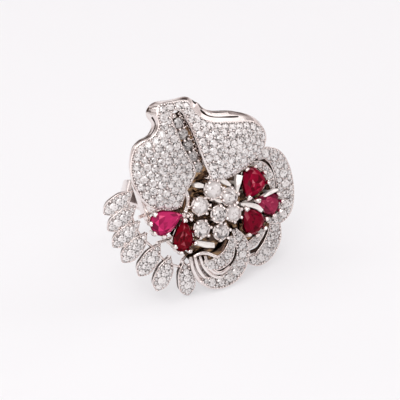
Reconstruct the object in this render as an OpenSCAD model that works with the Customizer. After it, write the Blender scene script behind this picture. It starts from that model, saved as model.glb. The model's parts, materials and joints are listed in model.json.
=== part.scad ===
// Cocktail ring: a two-lobed petal of small diamonds over a cluster of seven diamonds and five
// pear-cut rubies, with three scrolls and a fan of seven leaves, on a plain band.
// The ring lies as it rests on a table, face up and towards -Y. Millimetres.

/* [Band] */
// Inside diameter of the band, where the finger goes
finger_d = 18; // [16:0.2:19]
// Thickness of the band
band_thick = 1.6; // [1.4:0.1:2]
// Width of the band along the finger
band_w = 4.4; // [3.6:0.2:5]
// How far the finger's axis leans from the face's upright, in degrees
band_lean = 17; // [10:1:24]

/* [Metalwork] */
// Width of the polished rims round the set stones
rim_w = 0.32; // [0.25:0.01:0.4]
// Depth of the stone beds below those rims
recess = 0.34; // [0.32:0.01:0.4]
// Thickness of the plate under the stones
skin = 0.5; // [0.4:0.05:0.7]
// Thickness of the hanging walls of the petal
wall = 0.5; // [0.4:0.05:0.7]
// How much the petal bulges, as a share of its width
petal_crown = 0.13; // [0.08:0.01:0.16]
// Radius of the gallery ring that carries the head
gallery_r = 5.6; // [5.2:0.1:6]

/* [Stones] */
// Diameter of the small diamonds on the petal
pave_d = 1.3; // [1.2:0.02:1.32]
// Distance between the centres of those small diamonds
pave_pitch = 1.42; // [1.42:0.02:1.7]
// Diameter of the diamonds in the petal's groove
groove_d = 1.7; // [1.5:0.1:1.8]
// Size of the cluster's diamonds against the pictured one
cluster_scale = 1; // [0.9:0.01:1]

/* [Hidden] */

// The head is drawn face up: x to the right of the face, y up it, z out of it, and z = 0 where
// the band's back meets the head. These angles and shifts lay it down as it comes to rest.
face_tilt = 18.42;
face_turn = 16.39;
rest_shift = [0.90, -6.40, 11.56];

band_r = finger_d / 2 + band_thick;
metal = [0.80, 0.78, 0.76];
diamond = [0.93, 0.94, 0.96];
ruby = [0.70, 0.05, 0.20];

// Sides of the square wires and of the claws
tube_sides = 4;
claw_sides = 5;

// Petal, one row for each fold of its outline, from the left lobe's foot up round the groove's
// top to the right lobe's foot: groove edge x, y, z, outer edge x, y, z, how far the hanging
// wall flares out, and how deep it hangs.
// [in_x, in_y, in_z, out_x, out_y, out_z, flare, hang]
petal_rows = [
    [-6.3,  1.5, 5.6,  -7.1,  1.0, 5.2, 0.0, 0.8],
    [-6.0,  2.6, 5.8,  -9.1,  0.7, 4.9, 0.0, 0.8],
    [-5.6,  3.9, 6.0, -12.1,  1.7, 4.6, 0.0, 0.8],
    [-4.5,  5.9, 6.2, -14.3,  4.6, 4.4, 0.0, 0.9],
    [-4.1,  7.6, 6.4, -15.2,  8.1, 4.4, 0.0, 0.9],
    [-5.7, 10.2, 6.8, -14.8, 11.1, 4.7, 0.1, 1.0],
    [-6.9, 12.1, 7.0, -13.6, 12.4, 5.2, 0.3, 1.4],
    [-7.7, 14.1, 7.1, -11.8, 13.4, 5.8, 0.3, 2.0],
    [-8.5, 16.0, 7.0, -10.9, 15.3, 6.2, 0.4, 2.3],
    [-8.6, 17.0, 6.8, -11.2, 17.3, 6.2, 1.1, 2.4],
    [-8.2, 17.6, 6.7, -10.5, 18.8, 5.9, 0.4, 2.0],
    [-7.5, 17.7, 6.7,  -8.2, 19.3, 5.8, 0.2, 1.5],
    [-6.8, 17.3, 6.8,  -5.5, 19.4, 5.8, 0.7, 1.2],
    [-6.2, 16.3, 6.9,  -4.5, 18.1, 6.1, 1.6, 1.0],
    [-5.4, 14.9, 7.0,  -3.0, 16.7, 6.2, 1.7, 1.2],
    [-4.6, 13.2, 7.0,  -0.8, 15.8, 6.2, 1.9, 1.5],
    [-3.9, 11.5, 7.0,   3.2, 15.7, 6.0, 1.9, 1.6],
    [-3.0,  9.5, 6.8,   6.9, 15.7, 5.6, 1.0, 1.4],
    [-2.3,  8.1, 6.5,   9.2, 14.3, 5.2, 0.4, 0.9],
    [-1.9,  7.3, 6.4,   9.8, 12.5, 5.0, 0.0, 0.8],
    [-1.6,  6.9, 6.3,   8.9, 10.3, 5.0, 0.0, 0.8],
    [-1.7,  6.5, 6.2,   5.7,  7.7, 5.4, 0.0, 0.8],
    [-2.0,  6.3, 6.1,   2.1,  6.0, 5.8, 0.0, 0.8],
    [-2.5,  6.3, 6.1,  -1.3,  5.8, 6.0, 0.0, 0.8]
];
// The row where the left lobe's stones end and the right lobe's begin
petal_top_row = 11.6;
// Stretches of the flared wall that are pierced: [first row, last row, share of the wall's drop]
petal_slots = [
    [ 6.9,  8.5, 0.42],
    [ 9.0,  9.6, 0.45],
    [12.5, 12.9, 0.50],
    [13.3, 14.5, 0.50],
    [14.9, 16.6, 0.50]
];
slot_r = 0.45;

// Floor of the petal's groove: [x, y, z], its half width and its thickness
groove_floor = [
    [-7.7, 17.2, 5.00],
    [-6.9, 15.0, 5.15],
    [-5.6, 12.2, 5.15],
    [-4.4,  9.9, 4.95],
    [-2.5,  6.9, 4.40]
];
groove_half = 1.45;
groove_thick = 0.7;
// The groove's diamonds: [x, y], and how high their girdles stand over the floor
groove_seats = [[-7.1, 15.6], [-6.3, 13.7], [-5.4, 11.8], [-4.4, 9.9], [-3.35, 8.05]];
groove_stand = 0.90;

// Cluster diamonds, [x, y, z, radius], the middle one first in height
cluster_rows = [
    [-0.5,  4.1, 5.7, 1.45],
    [ 2.5,  2.8, 5.7, 1.35],
    [-2.9,  1.4, 5.7, 1.35],
    [ 0.2,  0.0, 6.6, 1.25],
    [ 3.2,  0.0, 5.8, 1.25],
    [-2.6, -2.5, 5.6, 1.30],
    [ 1.0, -3.1, 5.7, 1.25]
];
cluster_middle = 3;
// The outer six in their order round the middle one
cluster_round = [0, 2, 5, 6, 4, 1];

// Rubies: [x, y, z, way its point faces, tilt of its round end downwards, length, width]
ruby_rows = [
    [-8.9, -1.0, 5.2,   24, 12, 5.6, 4.0],
    [-5.8, -3.5, 5.1,   97, 14, 5.6, 3.6],
    [ 7.1,  4.9, 5.2, -119, 14, 5.5, 4.6],
    [10.1,  1.5, 4.8,  167, 16, 5.4, 3.7],
    [ 7.0, -1.3, 5.2,  128, 11, 5.2, 4.1]
];

// Scroll bands and the crescents inside them: [x, y, z, half width]
right_band = [
    [ 8.3,  9.0, 4.2, 0.45], [10.6,  9.9, 4.1, 1.05], [13.1,  8.2, 3.8, 1.35], [14.5,  4.4, 3.5, 1.40],
    [14.2,  0.8, 3.5, 1.30], [12.7, -1.2, 3.7, 0.95], [10.6, -1.6, 4.0, 0.45]
];
right_crescent = [
    [ 8.1,  8.5, 4.3, 0.40], [10.1,  7.4, 4.3, 0.80], [11.6,  5.0, 4.1, 0.72], [12.6,  2.4, 3.8, 0.40]
];
low_band = [
    [12.3, -2.0, 3.3, 1.00], [12.2, -4.6, 3.2, 1.35], [10.7, -7.3, 3.1, 1.25], [ 9.2, -8.3, 3.1, 1.10],
    [ 7.3, -8.3, 3.2, 0.60]
];
low_crescent = [
    [10.9, -2.9, 3.6, 0.40], [ 9.8, -4.8, 3.6, 0.80], [ 8.3, -6.0, 3.6, 0.75], [ 6.3, -6.7, 3.5, 0.40]
];
middle_band = [
    [ 3.6, -2.9, 5.2, 0.50], [ 5.1, -5.0, 4.9, 1.10], [ 5.4, -7.8, 4.5, 1.30], [ 4.2, -10.4, 4.3, 1.30],
    [ 2.0, -11.8, 4.1, 1.20], [-0.3, -11.9, 4.1, 0.95], [-1.7, -11.2, 4.2, 0.60]
];
middle_crescent = [
    [-1.9, -8.4, 4.9, 0.45], [-0.1, -8.8, 4.9, 1.00], [ 2.2, -7.7, 4.9, 1.22], [ 3.4, -5.8, 5.1, 0.90],
    [ 3.6, -4.0, 5.2, 0.40]
];
// Polished ridges on the middle scroll's left flank: [x, y, z]
middle_ridges = [
    [[-4.0,  -7.6, 4.1], [-3.8,  -9.2, 3.8], [-3.0, -10.9, 3.6], [-1.1, -12.6, 3.5]],
    [[-3.0,  -7.6, 4.5], [-2.6,  -9.5, 4.2], [-1.5, -11.2, 3.9], [-0.2, -12.3, 3.7]],
    [[-2.2,  -8.0, 4.8], [-1.6,  -9.6, 4.5], [-0.8, -10.7, 4.2], [ 0.1, -11.2, 4.0]]
];
// Plate that the ridges stand on: [x, y, z]
ridge_plate = [[-3.1, -7.8, 3.8], [-2.7, -9.6, 3.5], [-1.6, -11.2, 3.3], [0.2, -12.1, 3.2]];
ridge_plate_half = 1.25;
ridge_plate_thick = 1.0;
ridge_r = 0.32;
scroll_deep = 1.4;
// Small diamonds on the bands and crescents:
// [count, diameter, share of the path left bare at its start, share left bare at its end]
right_band_stones = [10, 1.36, 0.10, 0.08];
right_crescent_stones = [3, 1.10, 0.24, 0.38];
low_band_stones = [6, 1.36, 0.11, 0.12];
low_crescent_stones = [2, 1.10, 0.30, 0.36];
middle_band_stones = [8, 1.32, 0.13, 0.18];
middle_crescent_stones = [4, 1.40, 0.22, 0.20];

// Leaves: [root x, root y, tip x, tip y, half width]
leaf_rows = [
    [-14.3,  4.2, -19.1,   0.3, 1.40],
    [-13.7,  1.6, -18.4,  -2.5, 1.40],
    [-13.0, -1.0, -17.5,  -5.3, 1.45],
    [-11.7, -3.0, -15.8,  -8.0, 1.50],
    [ -9.3, -4.9, -12.8, -10.5, 1.55],
    [ -7.4, -7.1,  -9.5, -13.2, 1.55],
    [ -5.1, -8.1,  -3.8, -14.5, 1.60]
];
leaf_root_z = 3.4;
leaf_tip_z = 2.0;
leaf_deep = 1.5;
leaf_steps = 6;
leaf_fullness = 2.4;
// Small diamonds on a leaf: [share of its length, diameter]
leaf_gems = [[0.19, 0.94], [0.395, 1.30], [0.63, 1.38], [0.845, 0.90]];

// Wires that carry the pieces: a rail under the leaves' roots, and struts from the gallery: [x, y, z]
rail_r = 0.45;
leaf_rail = [
    [-14.6, 6.6, 3.1], [-14.1, 4.0, 2.5], [-13.4, 1.5, 2.4], [-12.7, -1.1, 2.4], [-11.4, -3.1, 2.4],
    [-9.2, -5.1, 2.4], [-7.3, -7.2, 2.4], [-5.1, -8.2, 2.5], [-3.6, -8.2, 3.6]
];
// Plain wall that closes the head behind the upper leaves: [x, y, z] along its top
leaf_screen = [[-13.4, 5.2, 3.2], [-12.4, 2.4, 3.1], [-11.6, 0.2, 3.0], [-10.4, -1.9, 2.9]];
screen_half = 0.3;
screen_deep = 2.2;
strut_r = 0.5;
struts = [
    [[-4.6,  3.0, 1.4], [-8.5, 6.0, 2.2], [-11.5,  8.2, 5.2]],
    [[-2.0,  5.2, 1.4], [-4.4, 8.6, 2.4], [ -5.4, 11.4, 4.9]],
    [[ 3.4,  4.4, 1.4], [ 5.2, 8.0, 2.6], [  5.6, 10.8, 6.1]],
    [[-4.4, -3.4, 1.4], [-7.2, -4.4, 1.6], [-9.6, -4.9, 2.4]],
    [[-5.5,  0.6, 1.4], [-9.4, 0.4, 1.6], [-12.9, -0.4, 2.4]],
    [[-2.6, -5.0, 1.4], [-3.8, -7.0, 2.0], [-5.0, -8.1, 2.5]],
    [[ 5.5,  1.4, 1.4], [ 9.2, 3.2, 1.7], [ 13.2,  4.4, 2.6]],
    [[ 4.6, -3.2, 1.4], [ 8.4, -4.6, 1.6], [11.0, -5.6, 2.2]],
    [[ 2.0, -5.2, 1.4], [ 3.0, -7.2, 2.2], [ 3.4, -8.0, 3.9]],
    [[11.0, -5.6, 2.2], [12.2, -2.4, 2.1], [13.2, -0.4, 2.4]],
    [[ 5.2,  2.6, 1.4], [ 8.4, 6.0, 1.8], [  9.2,  8.8, 3.4]]
];

// Bright blades between the stones: [x, y, z] of the ends, then half width and half height
blades = [
    [[-4.1,  5.2, 5.0], [-2.4,  4.6, 5.0], 0.35, 0.35],
    [[ 4.5,  6.2, 4.9], [ 4.1,  4.4, 5.2], 0.35, 0.55],
    [[ 4.4,  3.4, 5.3], [ 5.3,  2.6, 5.2], 0.25, 0.45],
    [[ 5.6,  1.9, 5.2], [ 7.8,  0.7, 5.0], 0.36, 0.45],
    [[-3.6, -4.7, 4.6], [-0.2, -5.5, 4.6], 0.45, 0.40]
];

function unit(v) = v / norm(v);
function lerp(a, b, t) = a + (b - a) * t;
function xyz(row) = [row[0], row[1], row[2]];

// A point between b and c on the smooth curve through a, b, c, d
function curve_point(a, b, c, d, t) =
    (2 * b + (c - a) * t + (2 * a - 5 * b + 4 * c - d) * t * t + (3 * b - a - 3 * c + d) * t * t * t) / 2;

// Smooth rows, k steps from each row to the next
function smooth(rows, k) =
    let (last = len(rows) - 1)
    concat(
        [
            for (i = [0 : last - 1]) for (j = [0 : k - 1])
                curve_point(rows[max(i - 1, 0)], rows[i], rows[i + 1], rows[min(i + 2, last)], j / k)
        ],
        [rows[last]]
    );

// The row at a place between rows, such as 7.4
function row_at(rows, s) =
    let (i = min(floor(s), len(rows) - 2), last = len(rows) - 1)
    curve_point(rows[max(i - 1, 0)], rows[i], rows[i + 1], rows[min(i + 2, last)], s - i);

// Lengths along a path up to each of its points
function run_lengths(p) =
    [for (i = 0, s = 0; i < len(p); s = s + norm(xyz(p[min(i + 1, len(p) - 1)]) - xyz(p[i])), i = i + 1) s];

// The row of a path at a length along it
function at_length(p, runs, s) =
    let (i = max([for (j = [0 : len(runs) - 2]) if (runs[j] <= s) j]))
    lerp(p[i], p[i + 1], (s - runs[i]) / (runs[i + 1] - runs[i]));

function heading(p, i) = unit(xyz(p[min(i + 1, len(p) - 1)]) - xyz(p[max(i - 1, 0)]));

// A closed skin over rings of points, each ring counter-clockwise about the way it travels
module loft(rings) {
    n = len(rings);
    k = len(rings[0]);
    polyhedron(
        points = [for (ring = rings) each ring],
        faces = concat(
            [[for (j = [0 : k - 1]) j]],
            [[for (j = [k - 1 : -1 : 0]) (n - 1) * k + j]],
            [
                for (i = [0 : n - 2]) for (j = [0 : k - 1])
                    let (a = i * k + j, b = i * k + (j + 1) % k)
                    each [[a, b + k, b], [a, a + k, b + k]]
            ]
        )
    );
}

// A wire through points: r is the distance from its middle to its corners
wire_lean = [0.13, 0.09, 1];
module wire(path, r) {
    loft([
        for (i = [0 : len(path) - 1])
            let (t = heading(path, i), x = unit(cross(wire_lean, t)), z = cross(t, x))
            [
                for (j = [0 : tube_sides - 1])
                    let (a = 360 * j / tube_sides)
                    path[i] + r * (cos(a) * x + sin(a) * z)
            ]
    ]);
}

// Cross-section of a scroll: raised rims, sunk bed, flat back
function scroll_section(half, deep) =
    let (rim = min(rim_w, half * 0.4))
    [
        [-half, -deep], [half, -deep], [half, 0], [half - rim, 0],
        [half - rim, -recess], [rim - half, -recess], [rim - half, 0], [-half, 0]
    ];

// Cross-section of a leaf: raised rims, sunk bed and sides that are notched below the rims
function leaf_section(half, deep) =
    let (rim = min(rim_w, half * 0.4), cut = min(0.45, half * 0.5), notch = -recess - skin)
    [
        [-half * 0.95, -deep], [half * 0.95, -deep], [half - cut, notch], [half, 0],
        [half - rim, 0], [half - rim, -recess], [rim - half, -recess], [rim - half, 0],
        [-half, 0], [cut - half, notch]
    ];

// A section carried along a path of [x, y, z, half width], kept upright
module swept(p, deep, leaf = false) {
    loft([
        for (i = [0 : len(p) - 1])
            let (
                t = heading(p, i),
                x = unit(cross([0, 0, 1], t)),
                z = cross(t, x),
                section = leaf ? leaf_section(p[i][3], deep) : scroll_section(p[i][3], deep)
            )
            [for (q = section) xyz(p[i]) + q[0] * x + q[1] * z]
    ]);
}

// A flat strip along a path, its top on the path
module strip(p, half, thick) {
    loft([
        for (i = [0 : len(p) - 1])
            let (x = half * unit(cross([0, 0, 1], heading(p, i))))
            [for (q = [[-1, -thick], [1, -thick], [1, 0], [-1, 0]]) xyz(p[i]) + q[0] * x + [0, 0, q[1]]]
    ]);
}

// Petal
petal_smooth = smooth(petal_rows, 2);

// Height of the petal's rim surface at a share t of the way across a row
function petal_height(row, t) =
    let (w = norm([row[3] - row[0], row[4] - row[1]]))
    lerp(row[2], row[5], t) + petal_crown * w * 4 * t * (1 - t);

// Cross-section of the petal at a row: [distance from the groove edge, height]
function petal_section(row) =
    let (
        w = norm([row[3] - row[0], row[4] - row[1]]),
        rim = min(rim_w, w / 5),
        thick = min(wall, w * 0.3),
        flare = row[6],
        foot = row[5] - row[7],
        in_foot = row[2] - min(2.6, 0.8 + w * 0.6),
        h = function(x) petal_height(row, x / w)
    )
    concat(
        [[0, in_foot], [thick, in_foot], [thick, h(thick) - recess - skin]],
        [[0.5 * w, h(0.5 * w) - recess - skin]],
        [
            [w - thick, h(w - thick) - recess - skin], [w + flare - thick, foot], [w + flare, foot],
            [w, row[5]], [w - rim, h(w - rim)], [w - rim, h(w - rim) - recess]
        ],
        [for (t = [0.67, 0.33]) [t * w, h(t * w) - recess]],
        [[rim, h(rim) - recess], [rim, h(rim)], [0, row[2]]]
    );

function petal_ring(row) =
    let (inner = [row[0], row[1]], d = unit([row[3], row[4]] - inner))
    [for (q = petal_section(row)) [inner[0] + q[0] * d[0], inner[1] + q[0] * d[1], q[1]]];

// Middle of the flared wall at a row and a share of its drop
function wall_point(s, share) =
    let (
        row = row_at(petal_rows, s),
        inner = [row[0], row[1]],
        d = unit([row[3], row[4]] - inner),
        x = norm([row[3], row[4]] - inner) + row[6] * share - wall * 0.5
    )
    [inner[0] + x * d[0], inner[1] + x * d[1], row[5] - row[7] * share];

module petal() {
    difference() {
        loft([for (row = petal_smooth) petal_ring(row)]);
        for (slot = petal_slots)
            wire([for (i = [0 : 2]) wall_point(lerp(slot[0], slot[1], i / 2), slot[2])], slot_r);
    }
    strip(smooth(groove_floor, 2), groove_half, groove_thick);
}

// How far a point in plan lies to the side of a row's line, from its groove edge to its outer edge
function row_side(row, q) =
    let (across = [row[3] - row[0], row[4] - row[1]])
    cross(across, [q[0] - row[0], q[1] - row[1]]) / norm(across);

// Where a point in plan lies on the petal: [row, share across], or undef off it
function petal_place(q) =
    let (
        hits = [
            for (i = [0 : len(petal_smooth) - 2])
                let (
                    a = petal_smooth[i],
                    b = petal_smooth[i + 1],
                    da = row_side(a, q),
                    db = row_side(b, q)
                )
                if (da <= 0 && db > 0)
                    let (
                        s = da / (da - db),
                        r = lerp(a, b, s),
                        across = [r[3] - r[0], r[4] - r[1]],
                        t = ([q[0] - r[0], q[1] - r[1]] * across) / (across * across)
                    )
                    if (t > 0 && t < 1) [i + s, t]
        ]
    )
    len(hits) > 0 ? hits[0] : undef;

function petal_z(q) =
    let (place = petal_place(q), i = min(floor(place[0]), len(petal_smooth) - 2))
    petal_height(lerp(petal_smooth[i], petal_smooth[i + 1], place[0] - i), place[1]);

// Distance from a point to the segment from a to b
function segment_gap(q, a, b) =
    let (t = max(0, min(1, ((q - a) * (b - a)) / ((b - a) * (b - a)))))
    norm(q - lerp(a, b, t));

petal_outline = concat(
    [for (row = petal_smooth) [row[3], row[4]]],
    [for (i = [len(petal_smooth) - 1 : -1 : 0]) [petal_smooth[i][0], petal_smooth[i][1]]]
);

function edge_gap(q) =
    let (o = petal_outline, n = len(o))
    min([for (i = [0 : n - 1]) segment_gap(q, o[i], o[(i + 1) % n])]);

// Least distance from a stone's centre to the petal's edge, and how much of it rounding may take
seat_margin = rim_w + pave_d / 2 + 0.02;
seat_slack = 0.03;
function seat_fits(q) = !is_undef(petal_place(q)) && edge_gap(q) > seat_margin - seat_slack;

// Points that follow the petal's edges at a distance, along rows a fraction apart
function contour(away, outer) =
    [
        for (k = [0 : 0.1 : len(petal_smooth) - 1.1])
            let (
                i = floor(k),
                col = outer ? 3 : 0,
                a = petal_smooth[i],
                b = petal_smooth[i + 1],
                p = lerp([a[col], a[col + 1]], [b[col], b[col + 1]], k - i),
                t = unit([b[col] - a[col], b[col + 1] - a[col + 1]]),
                q = p + away * (outer ? [t[1], -t[0]] : [-t[1], t[0]])
            )
            if (seat_fits(q)) q
    ];

// Fine points all over the petal, in rows
fill_step = 0.3;
function petal_grid() =
    [
        for (y = [1 : fill_step * 0.8 : 19]) for (x = [-15 : fill_step : 10])
            let (q = [x, y])
            if (seat_fits(q)) q
    ];

// Each stone is set as near to those before it as the pitch allows
function pick(candidates, i = 0, chosen = []) =
    i >= len(candidates)
        ? chosen
        : let (free = min([2 * pave_pitch, for (q = chosen) norm(q - candidates[i])]) >= pave_pitch)
            pick(candidates, i + 1, free ? concat(chosen, [candidates[i]]) : chosen);

// Stones line the edges first and then fill the middle
function petal_plan() = pick(concat(contour(seat_margin, false), contour(seat_margin, true), petal_grid()));

// Seats of one lobe's stones: [point on the bed, way up, radius]
function petal_seats(left) =
    [
        for (q = petal_plan())
            if ((petal_place(q)[0] / 2 < petal_top_row) == left)
                let (
                    e = 0.2,
                    z = petal_z(q),
                    zx = (petal_z(q + [e, 0]) - petal_z(q - [e, 0])) / (2 * e),
                    zy = (petal_z(q + [0, e]) - petal_z(q - [0, e])) / (2 * e),
                    up = unit([-zx, -zy, 1])
                )
                [[q[0], q[1], z] - recess * up, up, pave_d / 2]
    ];

// Small stone: table, crown and a shallow foot that stands just clear of its bed
gem_lean = [0.2, 1, 0.1];
gem_sides = 8;
gem_clear = 0.07;
gem_foot = 0.22;
gem_crown = 0.20;
gem_table = 0.58;

function gem_points(seat) =
    let (
        up = seat[1],
        x = unit(cross(gem_lean, up)),
        y = cross(up, x),
        r = seat[2],
        low = seat[0] + gem_clear * up,
        girdle = low + gem_foot * up,
        top = girdle + gem_crown * up,
        round = [for (j = [0 : gem_sides - 1]) let (a = 360 * j / gem_sides) r * (cos(a) * x + sin(a) * y)]
    )
    concat([for (q = round) top + gem_table * q], [for (q = round) girdle + q], [low]);

function gem_faces(first) =
    concat(
        [[for (j = [gem_sides - 1 : -1 : 0]) first + j]],
        [
            for (j = [0 : gem_sides - 1])
                let (k = (j + 1) % gem_sides, a = first + j, b = first + k)
                each [
                    [a, b, b + gem_sides],
                    [a, b + gem_sides, a + gem_sides],
                    [a + gem_sides, b + gem_sides, first + 2 * gem_sides]
                ]
        ]
    );

module gem_field(seats) {
    each_points = 2 * gem_sides + 1;
    polyhedron(
        points = [for (seat = seats) each gem_points(seat)],
        faces = [for (i = [0 : len(seats) - 1]) each gem_faces(i * each_points)]
    );
}

// Smallest gap between a stone and the rim beside it
bed_gap = 0.07;

// Which way is up out of a swept piece at a length along its path
function way_up(p, runs, s) =
    let (e = 0.1, ahead = unit(xyz(at_length(p, runs, s + e)) - xyz(at_length(p, runs, s - e))))
    cross(ahead, unit(cross([0, 0, 1], ahead)));

// Seats along a band: spec is [count, diameter, bare share at the start, bare share at the end]
function band_seats(path, spec) =
    let (
        p = smooth(path, 2),
        runs = run_lengths(p),
        total = runs[len(runs) - 1]
    )
    [
        for (i = [0 : spec[0] - 1])
            let (
                s = total * lerp(spec[2], 1 - spec[3], i / (spec[0] - 1)),
                q = at_length(p, runs, s),
                up = way_up(p, runs, s)
            )
            [xyz(q) - recess * up, up, min(spec[1] / 2, q[3] - rim_w - bed_gap)]
    ];

function leaf_path(row) =
    [
        for (i = [0 : leaf_steps])
            let (t = i / leaf_steps)
            [
                lerp(row[0], row[2], t), lerp(row[1], row[3], t),
                lerp(leaf_root_z, leaf_tip_z, t) + 0.35 * sin(180 * t),
                max(0.14, row[4] * (1 - pow(abs(2 * t - 1), leaf_fullness)))
            ]
    ];

function leaf_seats(row) =
    let (p = leaf_path(row), runs = run_lengths(p), total = runs[len(runs) - 1])
    [
        for (gem = leaf_gems)
            let (
                s = total * gem[0],
                q = at_length(p, runs, s),
                up = way_up(p, runs, s)
            )
            [xyz(q) - recess * up, up, gem[1] / 2]
    ];

// Round brilliant, its sharp girdle at z = 0: shares of its radius, and what its crown and its pavilion gain in height
cut_table = 0.56;
cut_crown = 0.31;
cut_pavilion = 0.84;
cut_girdle = 0.04;

module brilliant(r) {
    n = 16;
    polyhedron(
        points = concat(
            [
                for (j = [0 : 7])
                    let (a = 45 * j, t = cut_table * r)
                    [t * cos(a), t * sin(a), cut_crown * r + cut_girdle]
            ],
            [
                for (j = [0 : n - 1])
                    let (a = 360 * j / n)
                    [r * cos(a), r * sin(a), 0]
            ],
            [[0, 0, -cut_pavilion * r - cut_girdle]]
        ),
        faces = concat(
            [[for (j = [7 : -1 : 0]) j]],
            [
                for (j = [0 : 7])
                    let (k = (j + 1) % 8, g = 8 + 2 * j, h = 8 + (2 * j + 2) % n)
                    each [[j, k, g + 1], [j, g + 1, g], [k, h, g + 1]]
            ],
            [
                for (j = [0 : n - 1]) [8 + j, 8 + (j + 1) % n, 8 + n]
            ]
        )
    );
}

// Pear outline at an angle, its point along +X
function pear(l, w, a) = [l / 2 * cos(a), 0.65 * w * sin(a) * sin(a / 2)];
pear_sides = 14;
collar_sides = 10;
ruby_crown = 0.75;
ruby_deep = 1.7;

function pear_ring(l, w, share, z, sides = pear_sides) =
    [for (j = [0 : sides - 1]) let (q = pear(l, w, 360 * j / sides) * share) [q[0], q[1], z]];

module pear_stone(l, w) {
    loft([
        pear_ring(l, w, 0.08, -ruby_deep),
        pear_ring(l, w, 0.55, -ruby_deep * 0.62),
        pear_ring(l, w, 1, -0.05),
        pear_ring(l, w, 1, 0.05),
        pear_ring(l, w, 0.66, ruby_crown)
    ]);
}

module at_ruby(row) {
    translate(xyz(row))
        rotate([0, 0, row[3]])
            rotate([0, -row[4], 0])
                children();
}

module ruby_stone(i) {
    color(ruby) lying() at_ruby(ruby_rows[i]) pear_stone(ruby_rows[i][5], ruby_rows[i][6]);
}

module cluster_stone(i) {
    row = cluster_rows[i];
    color(diamond) lying() translate(xyz(row)) brilliant(row[3] * cluster_scale);
}

function groove_floor_z(y) =
    let (
        k = max([for (i = [0 : len(groove_floor) - 2]) if (groove_floor[i][1] >= y) i]),
        a = groove_floor[k],
        b = groove_floor[k + 1]
    )
    lerp(a[2], b[2], (y - a[1]) / (b[1] - a[1]));

module groove_stone(i) {
    q = groove_seats[i];
    color(diamond) lying()
        translate([q[0], q[1], groove_floor_z(q[1]) + groove_stand])
            brilliant(groove_d / 2);
}

// A claw or post: rings of [x, y, z, radius]
module claw(stations) {
    loft([
        for (s = stations)
            [
                for (j = [0 : claw_sides - 1])
                    let (a = 360 * j / claw_sides)
                    xyz(s) + s[3] * [cos(a), sin(a), 0]
            ]
    ]);
}

claw_r = 0.24;
claw_foot = 0.95;
claw_rise = 0.5;
claw_gap = 0.08;
// Each outer cluster stone's two claws stand this far round from its outermost point, in degrees
claw_spread = 52;
post_foot_r = 0.35;
post_top_r = 0.30;
// How far a cup or collar reaches past its stone, to carry the claws
cup_reach = 0.27;
cup_top = 0.4;
gallery_z = 1.4;
gallery_sides = 12;
gallery_half = 0.45;
// Bars across the gallery, turned so that the cups stand on them
gallery_bars = [45, 102, 167];

// A claw beside a stone: q is its place, z the height of the girdle
module stone_claw(q, z, rise = claw_rise) {
    claw([[q[0], q[1], z - claw_foot, claw_r], [q[0], q[1], z + rise, claw_r * 0.85]]);
}

// Claws of the cluster: one in each gap round the middle stone and two outside each outer stone
module cluster_claws() {
    mid = cluster_rows[cluster_middle];
    centre = [mid[0], mid[1]];
    count = len(cluster_round);
    reach = claw_r + claw_gap;
    for (i = [0 : count - 1]) {
        a = cluster_rows[cluster_round[i]];
        b = cluster_rows[cluster_round[(i + 1) % count]];
        between = [a[0] + b[0], a[1] + b[1]] / 2;
        stone_claw(centre + (mid[3] + reach) * unit(between - centre), mid[2]);
        out = atan2(a[1] - mid[1], a[0] - mid[0]);
        for (side = [-claw_spread, claw_spread])
            stone_claw([a[0], a[1]] + (a[3] + reach) * [cos(out + side), sin(out + side)], a[2]);
    }
}

// A post from the gallery up to a piece
module post(q, top) {
    claw([[q[0], q[1], gallery_z, post_foot_r], [q[0], q[1], top, post_top_r]]);
}

// Cup under a round stone, on a stem that stands on the gallery
cup_sides = 8;
function cup_ring(row, radius, z) =
    [
        for (j = [0 : cup_sides - 1])
            let (a = 360 * (j + 0.5) / cup_sides)
            [row[0] + radius * cos(a), row[1] + radius * sin(a), z]
    ];

module cup(row) {
    r = row[3];
    difference() {
        loft([cup_ring(row, 0.5 * r, gallery_z - 0.2), cup_ring(row, r + cup_reach, row[2] - cup_top)]);
        loft([cup_ring(row, 0.25 * r, row[2] - 1.6), cup_ring(row, 0.86 * r, row[2] - cup_top + 0.02)]);
    }
}

// Barred ring over the band that everything stands on
module gallery() {
    translate([0, 0, gallery_z])
        rotate_extrude($fn = gallery_sides)
            translate([gallery_r - gallery_half, -gallery_half])
                square(2 * gallery_half);
    for (turn = gallery_bars)
        rotate([0, 0, turn])
            wire([[-gallery_r, 0, gallery_z], [gallery_r, 0, gallery_z]], strut_r);
}

// Shoulders that rise from the band to the gallery
// [distance from the middle, z, half thickness, half width along the finger]
shoulder_rows = [
    [7.4, -2.6, 1.1, band_w * 0.46],
    [6.6, -0.8, 0.9, band_w * 0.50],
    [5.6,  1.4, 0.6, band_w * 0.70]
];
module shoulders() {
    for (side = [-1, 1])
        rotate([0, 0, -band_lean])
            loft([
                for (s = shoulder_rows)
                    [
                        for (q = [[-1, -1], [1, -1], [1, 1], [-1, 1]])
                            [side * s[0] + q[0] * s[2], q[1] * s[3], s[1]]
                    ]
            ]);
}

// Ruby settings: a collar under each stone, four claws, a prong at the point and a foot
claw_angles = [120, 160, 200, 240];
collar_low = 1.9;
// Where a ruby's foot leaves its collar: share of the stone's length towards the point, and drop
ruby_foot_share = 0.22;
ruby_foot_drop = 1.7;

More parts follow.
